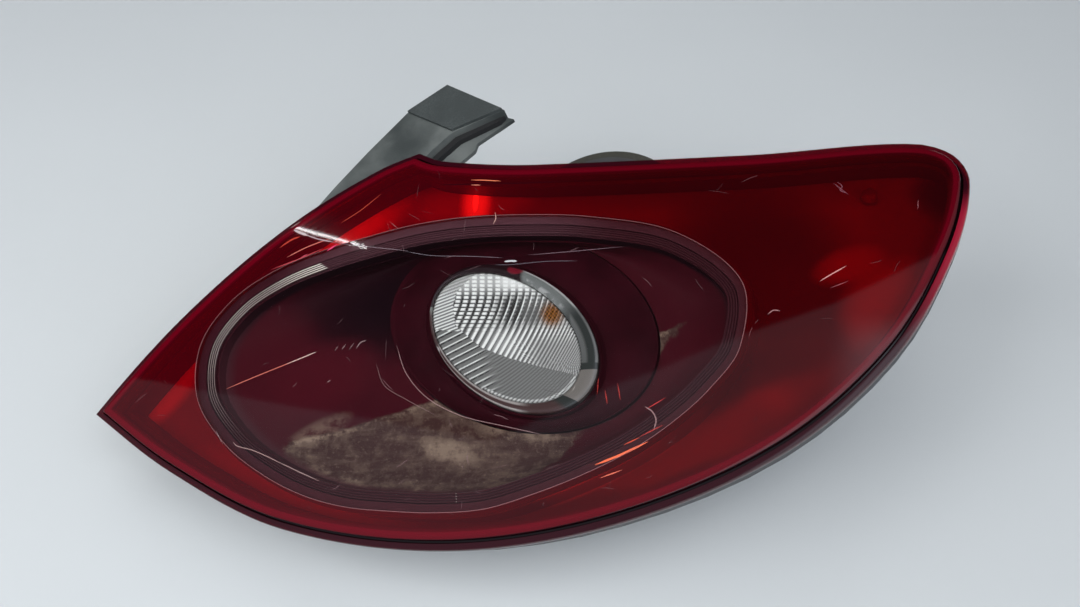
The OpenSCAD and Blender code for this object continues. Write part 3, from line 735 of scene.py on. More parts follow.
finishes = {
    "housing": plainPlastic("blackMoulding", (0.03, 0.03, 0.033), 0.5),
    "bond": plainPlastic("sealant", (0.012, 0.012, 0.013), 0.4, 300, 0.001),
    "red": redPlastic(),
    "smoke": smokedPlastic(),
    "zone": zoneMetal(),
    "bowl": bowlPlastic(),
    "collar": plainPlastic("collarPlastic", (0.024, 0.002, 0.005), 0.35, grainDepth=0.0001, shine=0.06),
    "ring": ribbedClear(),
    "mirror": metal("bowlMirror", (0.82, 0.82, 0.83), 0.12),
    "chrome": eyeChrome(),
    "prism": prismPlastic(),
    "scratch": scratchAndHighlightPaint(),
    "amber": bulbGlass("amberGlass", (0.75, 0.24, 0.02), 0.6),
    "bulb": bulbGlass("clearGlass", (0.97, 0.97, 0.96), 0.04),
    "carrier": plainPlastic("carrierMoulding", (0.05, 0.052, 0.056), 0.45),
    "socket": plainPlastic("socketMoulding", (0.035, 0.036, 0.04), 0.42),
    "rubber": plainPlastic("softRubber", (0.018, 0.018, 0.019), 0.7),
    "foam": foam("sealFoam", (0.045, 0.045, 0.038)),
    "pad": foam("padFoam", (0.05, 0.058, 0.058)),
    "steel": metal("zincSteel", (0.55, 0.55, 0.52), 0.35, 0.3),
    "brass": metal("tinnedBrass", (0.62, 0.50, 0.26), 0.3, 0.2),
    "strip": dustyStrip(),
}
print("finishes made")


# The red lens, from the window's edge over the rim bead and back inside
lensEdge = {"rings": 18, "dome": 5, "lip": 3.7, "grooveDepth": 5, "flangeDepth": 8, "skirtDepth": 16.5}


def outerLens():
    count, dome, lip, wall = lensEdge["rings"], lensEdge["dome"], lensEdge["lip"], lens["wall"]
    low, flange, skirt = lensEdge["grooveDepth"], lensEdge["flangeDepth"], lensEdge["skirtDepth"]
    hole = windowRadii()
    shoulder = rimRadii(dome + 6.5)
    front = [rayRing(hole + (shoulder - hole) * k / count, 0) for k in range(count + 1)]
    front += [rayRing(rimRadii(dome + inset), 0) for inset in (4.4, 3.6, 2.4, 0.7)]
    marks = [(0, 0, 0, 1)] * (count + 1)
    marks += [(0, 0, 0.4, 1), (0, 0.25, 1, 1), (0, 0.3, 1, 1), (0, 0.35, 0.6, 1)]
    bead, groove = (1, 0, 0, 1), (0, 1, 0, 1)
    profile = [
        (dome + 0.2, 0.25, groove), (dome, 0.9, groove), (dome, low, groove), (lip, low, groove),
        (lip, 3.7, groove), (lip - 0.2, 3.15, bead), (lip / 2, 3.0, bead), (0.4, 3.25, bead),
        (0, 3.9, bead), (0, flange, bead), (dome, flange, groove), (dome, skirt, groove),
        (dome + wall, skirt, groove), (dome + wall, wall + 1, (0, 0.2, 0.5, 1)),
    ]
    radii = {}
    rim = []
    for inset, depth, share in profile:
        if inset not in radii:
            radii[inset] = rimRadii(inset)
        rim.append(rayRing(radii[inset], depth))
        marks.append(share)
    inner = rimRadii(dome + wall + 1)
    back = [rayRing(inner + (hole - inner) * k / count, wall) for k in range(count + 1)]
    marks += [(0, 0, 0, 1)] * len(back)
    return dress(loft("outerLens", front + rim + back, marks=marks), finishes["red"], "outer_lens")


def lensWindow():
    rings = window["rings"]
    hole = windowRadii()
    front = [rayRing(hole * k / rings, 0) for k in range(rings + 1)]
    back = [rayRing(hole * (rings - k) / rings, lens["wall"]) for k in range(rings + 1)]
    return dress(loft("lensWindow", front + back, closed=False), finishes["smoke"], "lens_window")


outerLens()
lensWindow()
print("lens and window made")


# Trim inside the window, as in the CAD lofts but finer
loftAngles = np.radians(np.arange(0, 360, 1.5))
clearance = 0.3
trim = {"top": lens["wall"] + clearance, "sheet": 2, "land": 4.9, "seat": 3.2, "step": 6, "bowlDepth": 31}
guideOval = {"long": 152, "short": 80, "tilt": 9}
ribs = {"count": 4, "pitch": 1.35, "height": 1.0, "sheet": 2.4}
ribs["width"] = ribs["count"] * ribs["pitch"]
collar = {"centre": (63.5, -65.9), "long": 77.8, "short": 58, "tilt": -20.5}
eyeOutline = {"centre": (-0.6, 0.9), "long": eye["long"], "short": eye["short"], "tilt": eye["tilt"]}
chromeOutline = {
    "centre": (3.4, 0.4),
    "long": eye["long"] + 6,
    "short": eye["short"] + 5.6,
    "tilt": eye["tilt"],
}


def grownRing(outline, grow):
    long, short = outline["long"] + grow, outline["short"] + grow
    return ellipsePoints(outline["centre"], long, short, outline["tilt"], loftAngles)


def layerRing(outline, grow, depth):
    return onLayer(grownRing(outline, grow), depth)


# The window's outline moved outwards, with its points opposite those of an oval
def windowRing(grow, depth):
    oval = ellipsePoints((0, 0), guideOval["long"], guideOval["short"], guideOval["tilt"], loftAngles)
    turns = np.arctan2(oval[:, 1], oval[:, 0])
    reach = windowReach(turns)
    p = np.column_stack([np.cos(turns), np.sin(turns)]) * reach[:, None] + np.array(window["centre"])
    run = np.roll(p, -1, axis=0) - np.roll(p, 1, axis=0)
    out = np.column_stack([run[:, 1], -run[:, 0]]) / np.linalg.norm(run, axis=1)[:, None]
    return onLayer(p + out * grow, depth)


def eyePoints(points, out):
    t = math.radians(eye["turn"])
    x = eye["origin"][0] + points[:, 0] * math.cos(t) + out * math.sin(t)
    y = eye["origin"][1] + points[:, 0] * math.sin(t) - out * math.cos(t)
    return np.column_stack([x, y, eye["origin"][2] + points[:, 1]])


def eyeRing(outline, grow, out):
    return eyePoints(grownRing(outline, grow), out)


def sunk(ring, y):
    return ring + np.array([0, y, 0])


# Land round the window, a seat for the ribbed ring, a step down, and the bowl down to the cone's foot
def ringBezel():
    top, land, sheet = trim["top"], trim["land"], trim["sheet"]
    seat, inner = top + trim["seat"], land + ribs["width"] + 0.5
    foot = layerRing(collar, clearance, trim["bowlDepth"])
    brow = windowRing(-inner - 0.8, seat + trim["step"])

    def bowl(t):
        return sunk(brow + (foot - brow) * t, 5 * math.sin(math.pi * t))

    steps = np.arange(1, 16) / 16
    front = [(2, top), (0.3 - land, top), (-land, top + 0.3), (-land, seat)]
    front += [(-inner, seat), (-inner - 0.3, seat + 0.4)]
    back = [(sheet - inner, seat + sheet), (sheet - land, seat + sheet)]
    back += [(sheet - land, top + sheet), (2, top + sheet)]
    rings = [windowRing(grow, depth) for grow, depth in front] + [brow]
    rings += [bowl(t) for t in steps]
    rings += [foot, sunk(foot, sheet)]
    rings += [sunk(bowl(t), sheet) for t in steps[::-1]]
    rings += [sunk(brow, sheet + 0.6)] + [windowRing(grow, depth) for grow, depth in back]
    marks = [(0, 1, 0, 1)] * 5 + [(1, 0, 0, 1)] * 2
    marks += [(0, 0, 0, 1)] * (len(rings) - len(marks))
    return dress(loft("ringBezel", rings, marks=marks), finishes["bowl"], "ring_bezel")


# Ribbed ring: each rib's section as (share of the pitch, height)
ribSection = [(0.05, 0), (0.2, 0.6), (0.34, 0.95), (0.5, 1), (0.66, 0.95), (0.8, 0.6), (0.95, 0)]


def lightRing():
    seat = trim["top"] + trim["seat"] - clearance
    rings, marks = [], []
    for k in range(ribs["count"]):
        for along, up in ribSection:
            inset = trim["land"] + 0.25 + (k + along) * ribs["pitch"]
            rings.append(windowRing(-inset, seat - ribs["sheet"] + (1 - up) * ribs["height"]))
            marks.append((up, 0, 0, 1))
    rings.append(windowRing(-trim["land"] - 0.25 - ribs["width"], seat))
    rings.append(windowRing(-trim["land"] - 0.3, seat))
    marks += [(0, 0, 0, 1)] * 2
    return dress(loft("lightRing", rings, marks=marks), finishes["ring"], "light_ring")


def bowlCollar():
    foot = layerRing(collar, 0, trim["bowlDepth"])
    top = eyeRing(chromeOutline, 1, -10)
    rings = [layerRing(collar, -0.5, trim["bowlDepth"] - 2)]
    for t in np.arange(1, 10) / 10:
        rings.append(sunk(foot + (top - foot) * t, -3 * math.sin(math.pi * t) ** 0.6))
    rings += [
        eyeRing(chromeOutline, 1.6, -4.4),
        eyeRing(chromeOutline, 1.2, -4),
        eyeRing(chromeOutline, clearance, -4),
        sunk(top, 0.5),
        sunk((foot + top) / 2, 1),
        layerRing(collar, -0.5, trim["bowlDepth"] + trim["sheet"]),
    ]
    return dress(loft("bowlCollar", rings), finishes["collar"], "bowl_collar")


# Bright ring: over its crown from the outer edge to the small lens, then down inside
crown = [(0.96, -0.9), (0.88, -0.1), (0.76, 0.32), (0.6, 0.4), (0.42, 0.3), (0.25, 0.0), (0.1, -0.4)]


def chromeRing():
    low = -eye["ringDepth"]
    seat = -eye["sheet"] - eye["prism"] - 1 - clearance
    rings = [eyeRing(chromeOutline, 0, low), eyeRing(chromeOutline, -0.2, -2.4)]
    for t, out in crown:
        rings.append(eyeRing(eyeOutline, clearance, out) * (1 - t) + eyeRing(chromeOutline, 0, out) * t)
    inside = [(0, -1.2), (0, seat), (-1.2, seat), (-1.2, low), (0.8, low), (0.8, -2.6)]
    rings += [eyeRing(eyeOutline, clearance + grow, out) for grow, out in inside]
    rings += [eyeRing(chromeOutline, -1, -3.6), eyeRing(chromeOutline, -0.9, low)]
    marks = [(1 if 1 <= i <= 3 else 0, 1 if 7 <= i <= 9 else 0, 0, 1) for i in range(len(rings))]
    return dress(loft("chromeRing", rings, marks=marks), finishes["chrome"], "chrome_ring")


# Small mirror bowl, from behind the bright ring down to the amber bulb's neck
mirrorBowl = {"bulb": (74, -50), "neckRadius": 14.5, "neckY": -36, "sheet": 1.6, "bulge": 6, "rings": 14}


def indicatorReflector():
    top = -eye["ringDepth"] - clearance
    brow = eyeRing(eyeOutline, -1.5, top)
    radius = mirrorBowl["neckRadius"]
    neck = ellipsePoints(mirrorBowl["bulb"], radius, radius, 0, loftAngles)
    neck = np.column_stack([neck[:, 0], np.full(len(neck), float(mirrorBowl["neckY"])), neck[:, 1]])

    def wall(t):
        return sunk(brow + (neck - brow) * t, mirrorBowl["bulge"] * math.sin(math.pi * t))

    steps = np.arange(1, mirrorBowl["rings"]) / mirrorBowl["rings"]
    back = top - mirrorBowl["sheet"] - 0.1
    rings = [eyeRing(eyeOutline, 2, top), brow]
    rings += [wall(t) for t in steps]
    rings += [neck, sunk(neck, mirrorBowl["sheet"])]
    rings += [sunk(wall(t), mirrorBowl["sheet"]) for t in steps[::-1]]
    rings += [eyeRing(eyeOutline, 0.5, back), eyeRing(eyeOutline, 2, back)]
    return dress(loft("indicatorReflector", rings), finishes["mirror"], "indicator_reflector")


def ramp(x, low, high):
    t = np.clip((x - low) / (high - low), 0, 1)
    return t * t * (3 - 2 * t)


# 1 on whole numbers of value, over this share of each pitch
def lineAt(value, width, soft=0.15):
    off = np.abs(value - np.round(value))
    return 1 - ramp(off, (width - soft) / 2, (width + soft) / 2)


# Upper prisms, bent to the right: squares, thin lines amid them, flutes below, calm at the right
def upperPrisms(u, w):
    below = np.maximum(28 - w, 0)
    bent = u + 0.6 * (below - 12 * (1 - np.exp(-below / 12))) + 0.02 * np.maximum(w, 0)
    column = np.where(bent < 0, bent / 4.4, -np.log(1 - 0.0132 * np.clip(bent, 0, 62)) / 0.058)
    row = (w + 0.04 * u) / 2.35
    gap = 0.26 + 0.42 * ramp(w, 22, 33) + 0.2 * ramp(u, -8, 0) * ramp(w, 26, 30)
    squares = gap + (0.97 - gap) * lineAt(column + 0.1, 0.62) * lineAt(row, 0.68, 0.2)
    thin = 0.24 + 0.12 * ramp(u, 4, 12) + 0.70 * lineAt(column + 0.35, 0.2, 0.14)
    thin = thin + 0.2 * lineAt(row, 0.4, 0.3) * lineAt(column + 0.2, 0.5)
    core = ramp(u, -12, 2) * (1 - ramp(w, 20, 27))
    upper = squares * (1 - core) + thin * core
    white = np.exp(-(((u + 2) / 12) ** 2 + ((w + 3) / 8) ** 2))
    flutes = 0.36 + 0.2 * white + 0.62 * lineAt(column + 0.1, 0.55, 0.25)
    flutes = flutes - 0.3 * lineAt(column * 2 + 0.6, 0.3, 0.2)
    flutes = flutes + 0.3 * lineAt(row, 0.3, 0.3) * lineAt(column + 0.1, 0.4, 0.3) * ramp(u, 12, 18)
    low = 1 - ramp(w, 2, 13)
    upper = upper * (1 - low) + np.clip(flutes, 0.08, 1) * low
    quiet = ramp(u, 8, 20) * (1 - ramp(w, -6, 4))
    return upper * (1 - quiet) + (0.36 + 0.38 * lineAt(column, 0.42, 0.3)) * quiet


# Fan of flutes at the left, calmer at its top
def leftFan(u, w):
    fan = (w - 0.36 * (u + 42)) / 1.9
    flutes = 0.58 + 0.40 * lineAt(fan, 0.4, 0.2) - 0.2 * lineAt(fan + 0.4, 0.3, 0.15)
    calm = ramp(w, 24, 32) * 0.6
    return flutes * (1 - calm) + 0.6 * calm


# Lower part, almost plain, with wide flutes at its left
def lowerPart(u, w, slant):
    wide = (w - 0.5 * (u + 42)) / 4.2
    flutes = 0.42 + 0.52 * lineAt(wide, 0.2, 0.1) - 0.28 * lineAt(wide + 0.2, 0.2, 0.12)
    plain = 0.42 + 0.05 * lineAt(slant, 0.5, 0.3) - 0.07 * lineAt(slant + 0.5, 0.35, 0.3)
    fade = 1 - ramp(u + 0.35 * w, -22, -10)
    return plain * (1 - fade) + flutes * fade


# Borders of those parts: w under the upper prisms by u, and u right of the fan by w
prismBorders = {
    "under": ([-44, -30.5, -20, -14, 0, 20, 41], [16, 10, 0, -5, -11, -17.2, -22.5]),
    "fan": ([0, 8, 20, 27, 33, 39], [-19.5, -29, -30.5, -29, -24, -17]),
}


# Painted light of the small lens at u to the right and w up: painted highlights and shade of its prisms, and
# how much painted amber glow shows
def prismPaintedLight(u, w):
    slant = (w - (0.68 + 0.006 * u) * u) / 2.1
    border, side = np.interp(u, *prismBorders["under"]), np.interp(w, *prismBorders["fan"])
    shine = np.where(w > border, upperPrisms(u, w), lowerPart(u, w, slant))
    shine = np.where((u < side) & (w > 2 - 0.1 * u) & (w > border - 8), leftFan(u, w), shine)
    t = math.radians(eye["tilt"])
    du, dw = u - eyeOutline["centre"][0], w - eyeOutline["centre"][1]
    along = (du * math.cos(t) + dw * math.sin(t)) / eye["long"]
    across = (dw * math.cos(t) - du * math.sin(t)) / eye["short"]
    reach = np.sqrt(along**2 + across**2)
    # painted highlight along the lens's rim
    rim = ramp(reach, 0.945, 0.96) * (1 - ramp(reach, 0.985, 0.995))
    rim = rim * (1 - ramp(w, -24, -20)) * ramp(u, -14, -10)
    shine = shine * (1 - rim * 0.9) + rim * 0.9 * (0.3 + 0.65 * lineAt(slant, 0.6, 0.3))
    # painted amber glow of the bulb behind, and a painted darker patch beside it
    bulb = np.exp(-((((u - 25) / 6.5) ** 2 + ((w - 13) / 7.0) ** 2) ** 2))
    paintedShade = np.exp(-((((u - 14) / 6.0) ** 2 + ((w - 13) / 6.0) ** 2) ** 2))
    shine = shine * (1 - 0.65 * paintedShade) + 0.22 * paintedShade
    return np.clip(shine, 0.03, 0.97), bulb


def eyeFrame(points):
    t = math.radians(eye["turn"])
    x, y = points[:, 0] - eye["origin"][0], points[:, 1] - eye["origin"][1]
    return x * math.cos(t) + y * math.sin(t), points[:, 2] - eye["origin"][2]


def indicatorLens():
    rows = eye["rows"]
    angles = np.linspace(0, 2 * math.pi, eye["columns"], endpoint=False)
    base = -1 - eye["prism"]
    centre = np.array(eyeOutline["centre"])
    edge = ellipsePoints(centre, eye["long"], eye["short"], eye["tilt"], angles)
    rings = []
    for k in range(rows + 1):
        p = centre + (edge - centre) * k / rows
        shine = prismPaintedLight(p[:, 0], p[:, 1])[0]
        rings.append(eyePoints(p, base + eye["prism"] * (0.3 + 0.6 * shine) * min(1, (rows - k) / 2)))
    for k in range(9):
        rings.append(eyePoints(edge + (centre - edge) * k / 8, base - eye["sheet"]))
    piece = loft("indicatorLens", rings, closed=False, angle=35)
    points = np.zeros(len(piece.data.vertices) * 3, np.float32)
    piece.data.vertices.foreach_get("co", points)
    shine, bulb = prismPaintedLight(*eyeFrame(points.reshape(-1, 3) / mm))
    # painted highlights and shade of the prisms, then the painted amber glow with painted glints
    grey = (shine**2.0)[:, None] * np.array([0.93, 1.0, 0.965])
    paintedGlints = (0.5 + 0.5 * np.sin(points[0::3] / mm * 3.1) * np.sin(points[2::3] / mm * 2.7))[:, None] ** 2
    amber = np.array([0.34, 0.135, 0.022]) * (0.08 + 0.5 * shine[:, None] ** 1.5 + 0.7 * paintedGlints)
    colour = grey * (1 - bulb[:, None]) + amber * bulb[:, None]
    colour = np.column_stack([colour, ramp(shine, 0.12, 0.45)])
    mark(piece, colour)
    return dress(piece, finishes["prism"], "indicator_lens")


# Reflector behind the red field, with the divider that rises round the window
panel = {
    "inset": 12.3, "depth": 26, "sheet": 2, "divider": 2, "gap": 0.5, "top": 5.6, "fillet": 6,
    "rings": 16, "bulge": (198, -110), "bulgeHeight": 15.5, "bulgeWidth": 22,
}


# Ring of the panel, raised over the brake bulb's glass
def bulged(radii, depth):
    ring = rayRing(radii, depth)
    x, z = ring[:, 0], ring[:, 2]
    away = np.hypot(x - panel["bulge"][0], z - panel["bulge"][1]) / panel["bulgeWidth"]
    ring[:, 1] = ring[:, 1] - panel["bulgeHeight"] * np.exp(-away * away)
    return ring


def zoneReflector():
    lip, inner = windowRadii(panel["gap"]), windowRadii(panel["gap"] + panel["divider"])
    outer = np.maximum(rimRadii(panel["inset"]), inner + 1)
    low = panel["depth"] + panel["sheet"]
    shares = np.linspace(0, 1, panel["rings"] + 1)
    rings = [bulged(outer + (inner - outer) * t, panel["depth"]) for t in shares]
    divider = [(inner, panel["depth"] - panel["fillet"]), (inner, panel["top"]), (lip, panel["top"])]
    rings += [rayRing(radii, depth) for radii, depth in divider]
    rings += [bulged(lip + (outer - lip) * t, low) for t in shares]
    return dress(loft("zoneReflector", rings), finishes["zone"], "zone_reflector")


# Scratches and scuffs, painted highlights and a painted dark line: flat ribbons on the lens, each through (x,
# z) points, with a width, a colour and a share of paint
scratchesAndHighlights = {
    "seed": 7,
    "fine": 70,
    "drawn": [
        # painted highlight on a fold of the reflector
        ([(-33.3, -3.7), (-22, 4), (-11.5, 14)], 0.5, (0.62, 0.09, 0.05), 0.55),
        ([(-93, -100.2), (-74, -94.2), (-56, -88.6), (-38.6, -82.9)], 0.5, (0.62, 0.16, 0.12), 0.7),
        ([(-56, -88.6), (-46, -85.4), (-38.6, -82.9)], 0.6, (0.72, 0.55, 0.5), 0.6),
        ([(-27.5, -83), (-25.6, -80.4)], 0.5, (0.3, 0.2, 0.2), 0.35),
        ([(-23.4, -82.6), (-21.2, -79.6)], 0.6, (0.34, 0.23, 0.23), 0.4),
        ([(-19.2, -83), (-16.4, -79.2)], 0.5, (0.3, 0.2, 0.2), 0.35),
        ([(-15, -82.4), (-12.6, -79.2), (-9.4, -78.2)], 0.6, (0.36, 0.26, 0.26), 0.4),
        ([(-31, -100.5), (-28.8, -99.4)], 0.6, (0.32, 0.22, 0.22), 0.4),
        # painted highlights: white and pale streaks at the upper left
        ([(-63, -5), (-58, -7.6), (-53, -10)], 1.5, (0.8, 0.74, 0.75), 0.6),
        ([(-55, -9), (-46, -13), (-35, -16.4)], 0.7, (0.62, 0.52, 0.56), 0.55),
        ([(-37, -15.8), (-28.5, -18.1), (-6.7, -22.7), (10, -26)], 0.35, (0.42, 0.32, 0.36), 0.4),
        # painted highlights above the small lens
        ([(65, -36.4), (68.7, -36.2), (72, -36.5)], 1.1, (0.7, 0.72, 0.75), 0.6),
        ([(60, -38), (68.7, -38.4), (88, -37.4), (104, -37.8)], 0.3, (0.28, 0.27, 0.32), 0.3),
        # painted highlights: orange and red streaks low on the red field
        ([(111.4, -148.8), (124, -144), (138, -137.5)], 1.1, (0.95, 0.16, 0.06), 0.85),
        ([(126, -139), (134, -135.3)], 0.6, (0.8, 0.1, 0.05), 0.6),
        ([(134, -135), (146, -129)], 0.5, (0.7, 0.06, 0.05), 0.5),
        ([(113.4, -155.4), (124.5, -151.5)], 0.6, (0.9, 0.2, 0.12), 0.7),
        ([(137.9, -121), (147.9, -115)], 0.5, (0.6, 0.05, 0.05), 0.6),
        # painted highlights along the top rim, then a painted dark line under it
        ([(41.5, 18.7), (50, 17.8), (59, 16.5)], 0.7, (0.85, 0.25, 0.12), 0.7),
        ([(41.9, 15.1), (47.7, 14.6)], 0.6, (0.85, 0.3, 0.2), 0.7),
        ([(23.5, 16.8), (41, 15.8), (70, 14.2), (92, 14)], 0.9, (0.035, 0.0, 0.003), 0.55),
        ([(57.6, -4.6), (58.4, -8.6), (57.2, -12.6)], 0.5, (0.7, 0.42, 0.36), 0.6),
        ([(-3, -6), (3, -11.5)], 0.3, (0.5, 0.3, 0.3), 0.5),
        ([(137.5, -119.5), (141, -122.2), (142.6, -126.5), (141.2, -131.5)], 0.7, (0.34, 0.2, 0.2), 0.6),
        ([(227.7, -51.3), (234, -47), (241.4, -42.2)], 0.55, (0.75, 0.35, 0.33), 0.8),
        ([(232.4, -55.3), (242, -51)], 0.4, (0.4, 0.12, 0.14), 0.6),
        ([(282.2, 1.1), (281.5, -5)], 0.5, (0.4, 0.16, 0.18), 0.5),
        ([(118, -110.5), (119, -118)], 0.5, (0.6, 0.05, 0.04), 0.5),
        ([(124.5, -107), (125.5, -116)], 0.5, (0.6, 0.05, 0.04), 0.5),
        ([(115, -104), (114, -113)], 0.4, (0.6, 0.05, 0.04), 0.45),
        ([(206.7, -68.6), (203.5, -68.2), (200.5, -70.5)], 0.5, (0.5, 0.28, 0.28), 0.6),
        ([(240.6, 11.5), (243, 8.6), (241.6, 6.2), (244.5, 4)], 0.45, (0.3, 0.13, 0.17), 0.55),
        ([(238.6, 10.6), (241.6, 7.4), (246, 3)], 0.45, (0.3, 0.13, 0.17), 0.5),
        (
            [(-86.7, -130.1), (-84.1, -132.4), (-74.7, -135.1), (-66, -138.7), (-57.5, -142.8)],
            0.45,
            (0.46, 0.3, 0.28),
            0.6,
        ),
        ([(-59, -142), (-48.6, -146.9), (-34.6, -153.2)], 0.4, (0.46, 0.32, 0.3), 0.6),
        ([(-98, -123), (-93, -131)], 0.35, (0.4, 0.3, 0.3), 0.5),
        # painted highlights: red and orange streaks at the upper left
        ([(-73, -30), (-58, -25.6), (-42, -19.8)], 0.6, (0.7, 0.1, 0.12), 0.5),
        ([(-64, -23), (-52, -17.6), (-38, -13.4)], 0.6, (0.85, 0.25, 0.2), 0.6),
        ([(-70, -16), (-63, -11.5), (-58, -10)], 1.0, (0.8, 0.1, 0.06), 0.45),
        ([(-39, -21.5), (-33.5, -17.8)], 1.1, (0.9, 0.06, 0.2), 0.7),
        ([(-55, -24.2), (-51, -22.2)], 0.7, (0.7, 0.12, 0.2), 0.5),
        ([(8, -82), (14, -98), (26, -112), (44, -122), (66, -128), (86, -133)], 0.35, (0.4, 0.25, 0.25), 0.5),
        ([(-3, -92), (2, -104), (14, -112), (30, -121)], 0.25, (0.4, 0.25, 0.25), 0.35),
        ([(8, -26), (24, -30), (46, -32), (64, -34)], 0.3, (0.3, 0.26, 0.3), 0.4),
        ([(78, -33), (100, -32), (128, -30)], 0.35, (0.3, 0.2, 0.24), 0.4),
    ],
}


def ribbon(points, width, colour, share, index):
    p = np.array(smoothCurve(points, 6) + [points[-1]], float)
    run = np.gradient(p, axis=0)
    side = np.column_stack([-run[:, 1], run[:, 0]]) / np.linalg.norm(run, axis=1)[:, None] * width / 2
    fromEnd = np.arange(len(p)) + 0.5
    taper = np.minimum(1, np.minimum(fromEnd, fromEnd[::-1]) / 3)[:, None]
    left, right = p + side * taper, p - side * taper
    sections = np.stack(
        [onLayer(left, -0.02), onLayer(left, 0.02), onLayer(right, 0.02), onLayer(right, -0.02)], axis=1
    )
    start, end = [np.repeat(tip.mean(1), 4, axis=0) for tip in (sections[:1], sections[-1:])]
    rings = [start, *sections, end]
    return loft(f"scratch{index}", rings, closed=False, marks=[(*colour, share)] * len(rings))


def lensScratchesAndHighlights():
    pick = random.Random(scratchesAndHighlights["seed"])
    drawn = list(scratchesAndHighlights["drawn"])
    limits = rimRadii(14)
    for _ in range(scratchesAndHighlights["fine"]):
        ray = pick.randrange(len(rays))
        r = limits[ray] * math.sqrt(pick.uniform(0.02, 1.0))
        start = np.array(window["centre"]) + rayDirections[ray] * r
        turn, reach, bow = pick.uniform(0, math.pi), pick.uniform(1.5, 11), pick.uniform(-0.6, 0.6)
        way = np.array([math.cos(turn), math.sin(turn)])
        points = [start, start + way * reach / 2 + way[::-1] * (-bow, bow), start + way * reach]
        grey = pick.uniform(0.12, 0.3)
        width, share = pick.uniform(0.12, 0.26), pick.uniform(0.2, 0.5)
        drawn.append((points, width, (grey * 1.2, grey * 0.7, grey * 0.75), share))
    pieces = [ribbon(*line, i) for i, line in enumerate(drawn)]
    only(pieces[0])
    for piece in pieces:
        piece.select_set(True)
    bpy.ops.object.join()
    joined = pieces[0]
    joined.name = "lensScratchesAndHighlights"
    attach(dress(joined, finishes["scratch"]), "root")


# Fine line where window and lens meet: the corners of its section as (growth, depth)
weld = {
    "section": [(-0.3, -0.02), (0.1, -0.02), (0.1, 0.02), (-0.3, 0.02)],
    "paint": (0.36, 0.17, 0.18, 0.4),
}


def weldLine():
    rings = [rayRing(windowRadii(grow), depth) for grow, depth in weld["section"]]
    piece = loft("weldLine", rings, marks=[weld["paint"]] * len(rings))
    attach(dress(piece, finishes["scratch"]), "root")


ringBezel()
lightRing()
bowlCollar()
chromeRing()
indicatorReflector()
indicatorLens()
zoneReflector()
print("trim made")
lensScratchesAndHighlights()
weldLine()
print("scratches made")


# CAD nodes that keep their shape
kept = {
    "housing": "housing",
    "lens_bond": "bond",
    "indicator_bulb": "amber",
    "tail_bulb": "bulb",
    "brake_bulb": "bulb",
    "side_bulb": "bulb",
    "brake_socket": "socket",
    "side_socket": "socket",
    "bulb_carrier": "carrier",
    "carrier_gasket": "rubber",
    "carrier_clips": "steel",
    "contact_strips": "brass",
    "connector_pins": "brass",
    "seal_ring": "foam",
    "mounting_studs": "steel",
    "stud_washers": "foam",
    "vent_cap": "rubber",
    "gutter_strip": "strip",
    "strip_pad": "pad",
    "strip_lip": "rubber",
    "strip_screws": "steel",
}
for node, finish in kept.items():
    dress(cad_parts[node], finishes[finish])
print("CAD nodes finished")


# Table under the lamp, seen from its front only
table = {
    "normal": (0.317, -0.871, 0.3746),
    "right": (0.9397, 0.342, 0),
    "height": -46,
    "size": 7000,
    "colour": (0.64, 0.675, 0.69),
}
middle = Vector((60, -60, -70))
up = Vector(table["normal"]).normalized()
right = Vector(table["right"]).normalized()
away = up.cross(right)


def tableTop():
    foot = middle - up * (up.dot(middle) - table["height"])
    bpy.ops.object.select_all(action="DESELECT")
    bpy.ops.mesh.primitive_plane_add(
        size=table["size"] * mm, location=foot * mm, rotation=up.to_track_quat("Z", "Y").to_euler()
    )
    top = bpy.context.object
    top.name = "tableTop"
    f = Finish("paleTable")
    pale = table["colour"]
    clouds = f.mixColour(f.noise(3, 3).step(0.3, 0.7), tuple(v * 0.97 for v in pale), pale)
    paint = f.principled(Base_Color=clouds, Roughness=0.45)
    shadow = Value(f, f.node("ShaderNodeLightPath").outputs["Is Shadow Ray"])
    top.data.materials.append(f.surface(f.mixShader(f.behind().math("MAXIMUM", shadow), paint, f.clear())))


tableTop()


# Lights: name, elevation over the table, turn from the far side to the right, distance, size, level
lights = [
    ("keyLight", 44, -120, 1600, (1000, 1000), 0.57),
    ("nearLight", 62, 160, 1700, (1300, 1300), 0.54),
    ("farLight", 62, -15, 1700, (1300, 1000), 0.15),
    ("backLight", -35, 30, 1700, (1300, 1300), 0.5),
]


def areaLight(name, elevation, turn, distance, size, level):
    e, t = math.radians(elevation), math.radians(turn)
    out = up * math.sin(e) + (away * math.cos(t) + right * math.sin(t)) * math.cos(e)
    bpy.ops.object.light_add(type="AREA", location=(middle + out * distance) * mm)
    light = bpy.context.object
    light.name = name
    light.rotation_euler = (-out).to_track_quat("-Z", "Y").to_euler()
    light.data.shape = "RECTANGLE"
    light.data.size, light.data.size_y = [v * mm for v in size]
    light.data.energy = level * math.pi**2 * (distance * mm) ** 2
    light.visible_glossy = False


for values in lights:
    areaLight(*values)


# Bright tube on the ceiling: its ends to the right and away, as shares of its height over the table
tube = {"ends": ((-0.95, 0.63), (-0.72, 0.44)), "height": 1500, "width": 14, "level": 26}


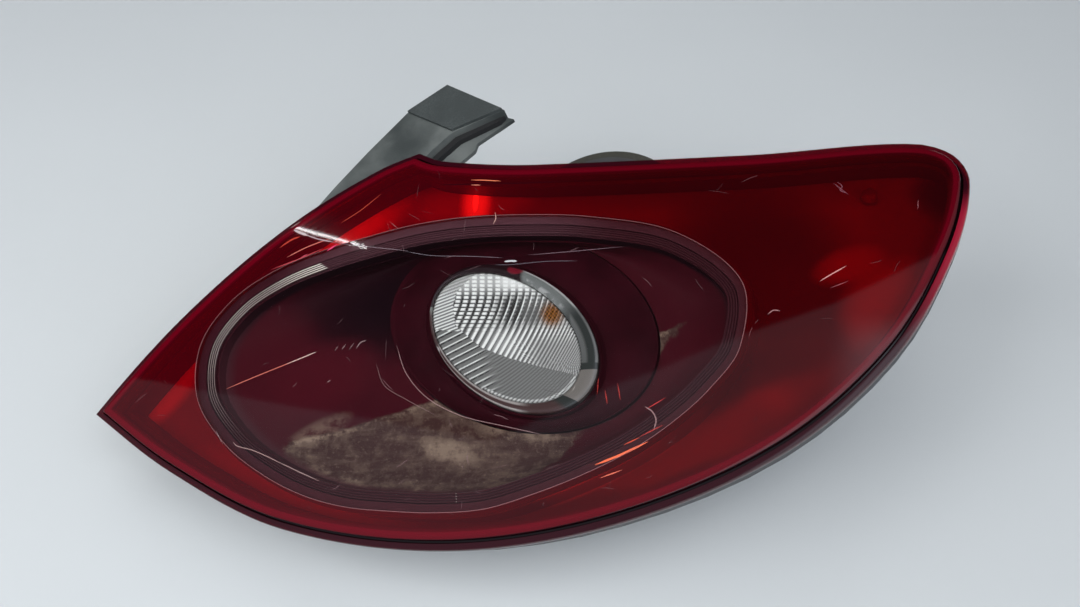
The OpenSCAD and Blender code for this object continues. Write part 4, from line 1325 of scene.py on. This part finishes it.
def ceilingTube():
    start, end = [middle + (up + right * a + away * b) * tube["height"] for a, b in tube["ends"]]
    centre = (start + end) / 2
    bpy.ops.object.light_add(type="AREA", location=centre * mm)
    light = bpy.context.object
    light.name = "ceilingTube"
    out = (centre - middle).normalized()
    side = out.cross(end - start).normalized()
    light.rotation_euler = Matrix((side.cross(out), side, out)).transposed().to_euler()
    light.data.shape = "RECTANGLE"
    light.data.size, light.data.size_y = (end - start).length * mm, tube["width"] * mm
    light.data.energy = tube["level"] * math.pi * light.data.size * light.data.size_y


ceilingTube()


# What the gloss mirrors: pale ceiling and walls, a window to the right and a haze, by direction
roomLook = {
    "tint": (0.90, 0.96, 1.08),
    "pale": 0.24,
    "window": 0.8,
    "haze": 0.3,
    "base": 0.02,
    "below": 0.22,
}


def room():
    world = bpy.data.worlds.new("room")
    bpy.context.scene.world = world
    world.use_nodes = True
    f = Finish("room", world.node_tree)
    way = f.node("ShaderNodeTexCoord").outputs["Generated"]

    def along(axis):
        n = f.node("ShaderNodeVectorMath", {"operation": "DOT_PRODUCT"}, i0=way, i1=tuple(axis))
        return Value(f, n.outputs["Value"])

    rise = along(up)
    over = rise.math("MAXIMUM", 0.02)
    side, far = along(right) / over, along(away) / over
    limit = (side * 0.88 - 0.275).math("MAXIMUM", side * 0.65 - 0.19)
    limit = limit.math("MAXIMUM", side * -0.37 - 0.585)  # the ceiling's near edge
    pale = (limit - far).step(-0.008, 0.012)
    window = side.step(0.34, 0.5) * (far * -1).step(-0.04, 0.12)
    rear = far - 0.63 + (side + 0.95) * 0.83
    haze = rear.step(0.0, 0.03) * (1 - rear.step(0.0, 0.2)) * (1 - side.step(-1.0, -0.6))
    look = roomLook
    level = pale * look["pale"] + window * look["window"] + haze * look["haze"] + look["base"]
    above = rise.step(-0.2, 0.0)
    level = level * above + (1 - above) * look["below"]
    lit = f.node("ShaderNodeBackground", Color=look["tint"], Strength=level).outputs[0]
    seen = f.node("ShaderNodeBackground", Color=table["colour"], Strength=1.0).outputs[0]
    cameraRay = f.node("ShaderNodeLightPath").outputs["Is Camera Ray"]
    out = f.node("ShaderNodeOutputWorld")
    f.put(out, "Surface", f.mixShader(cameraRay, lit, seen))


room()

bpy.context.scene.view_settings.view_transform = "Standard"
print("table and lights set")
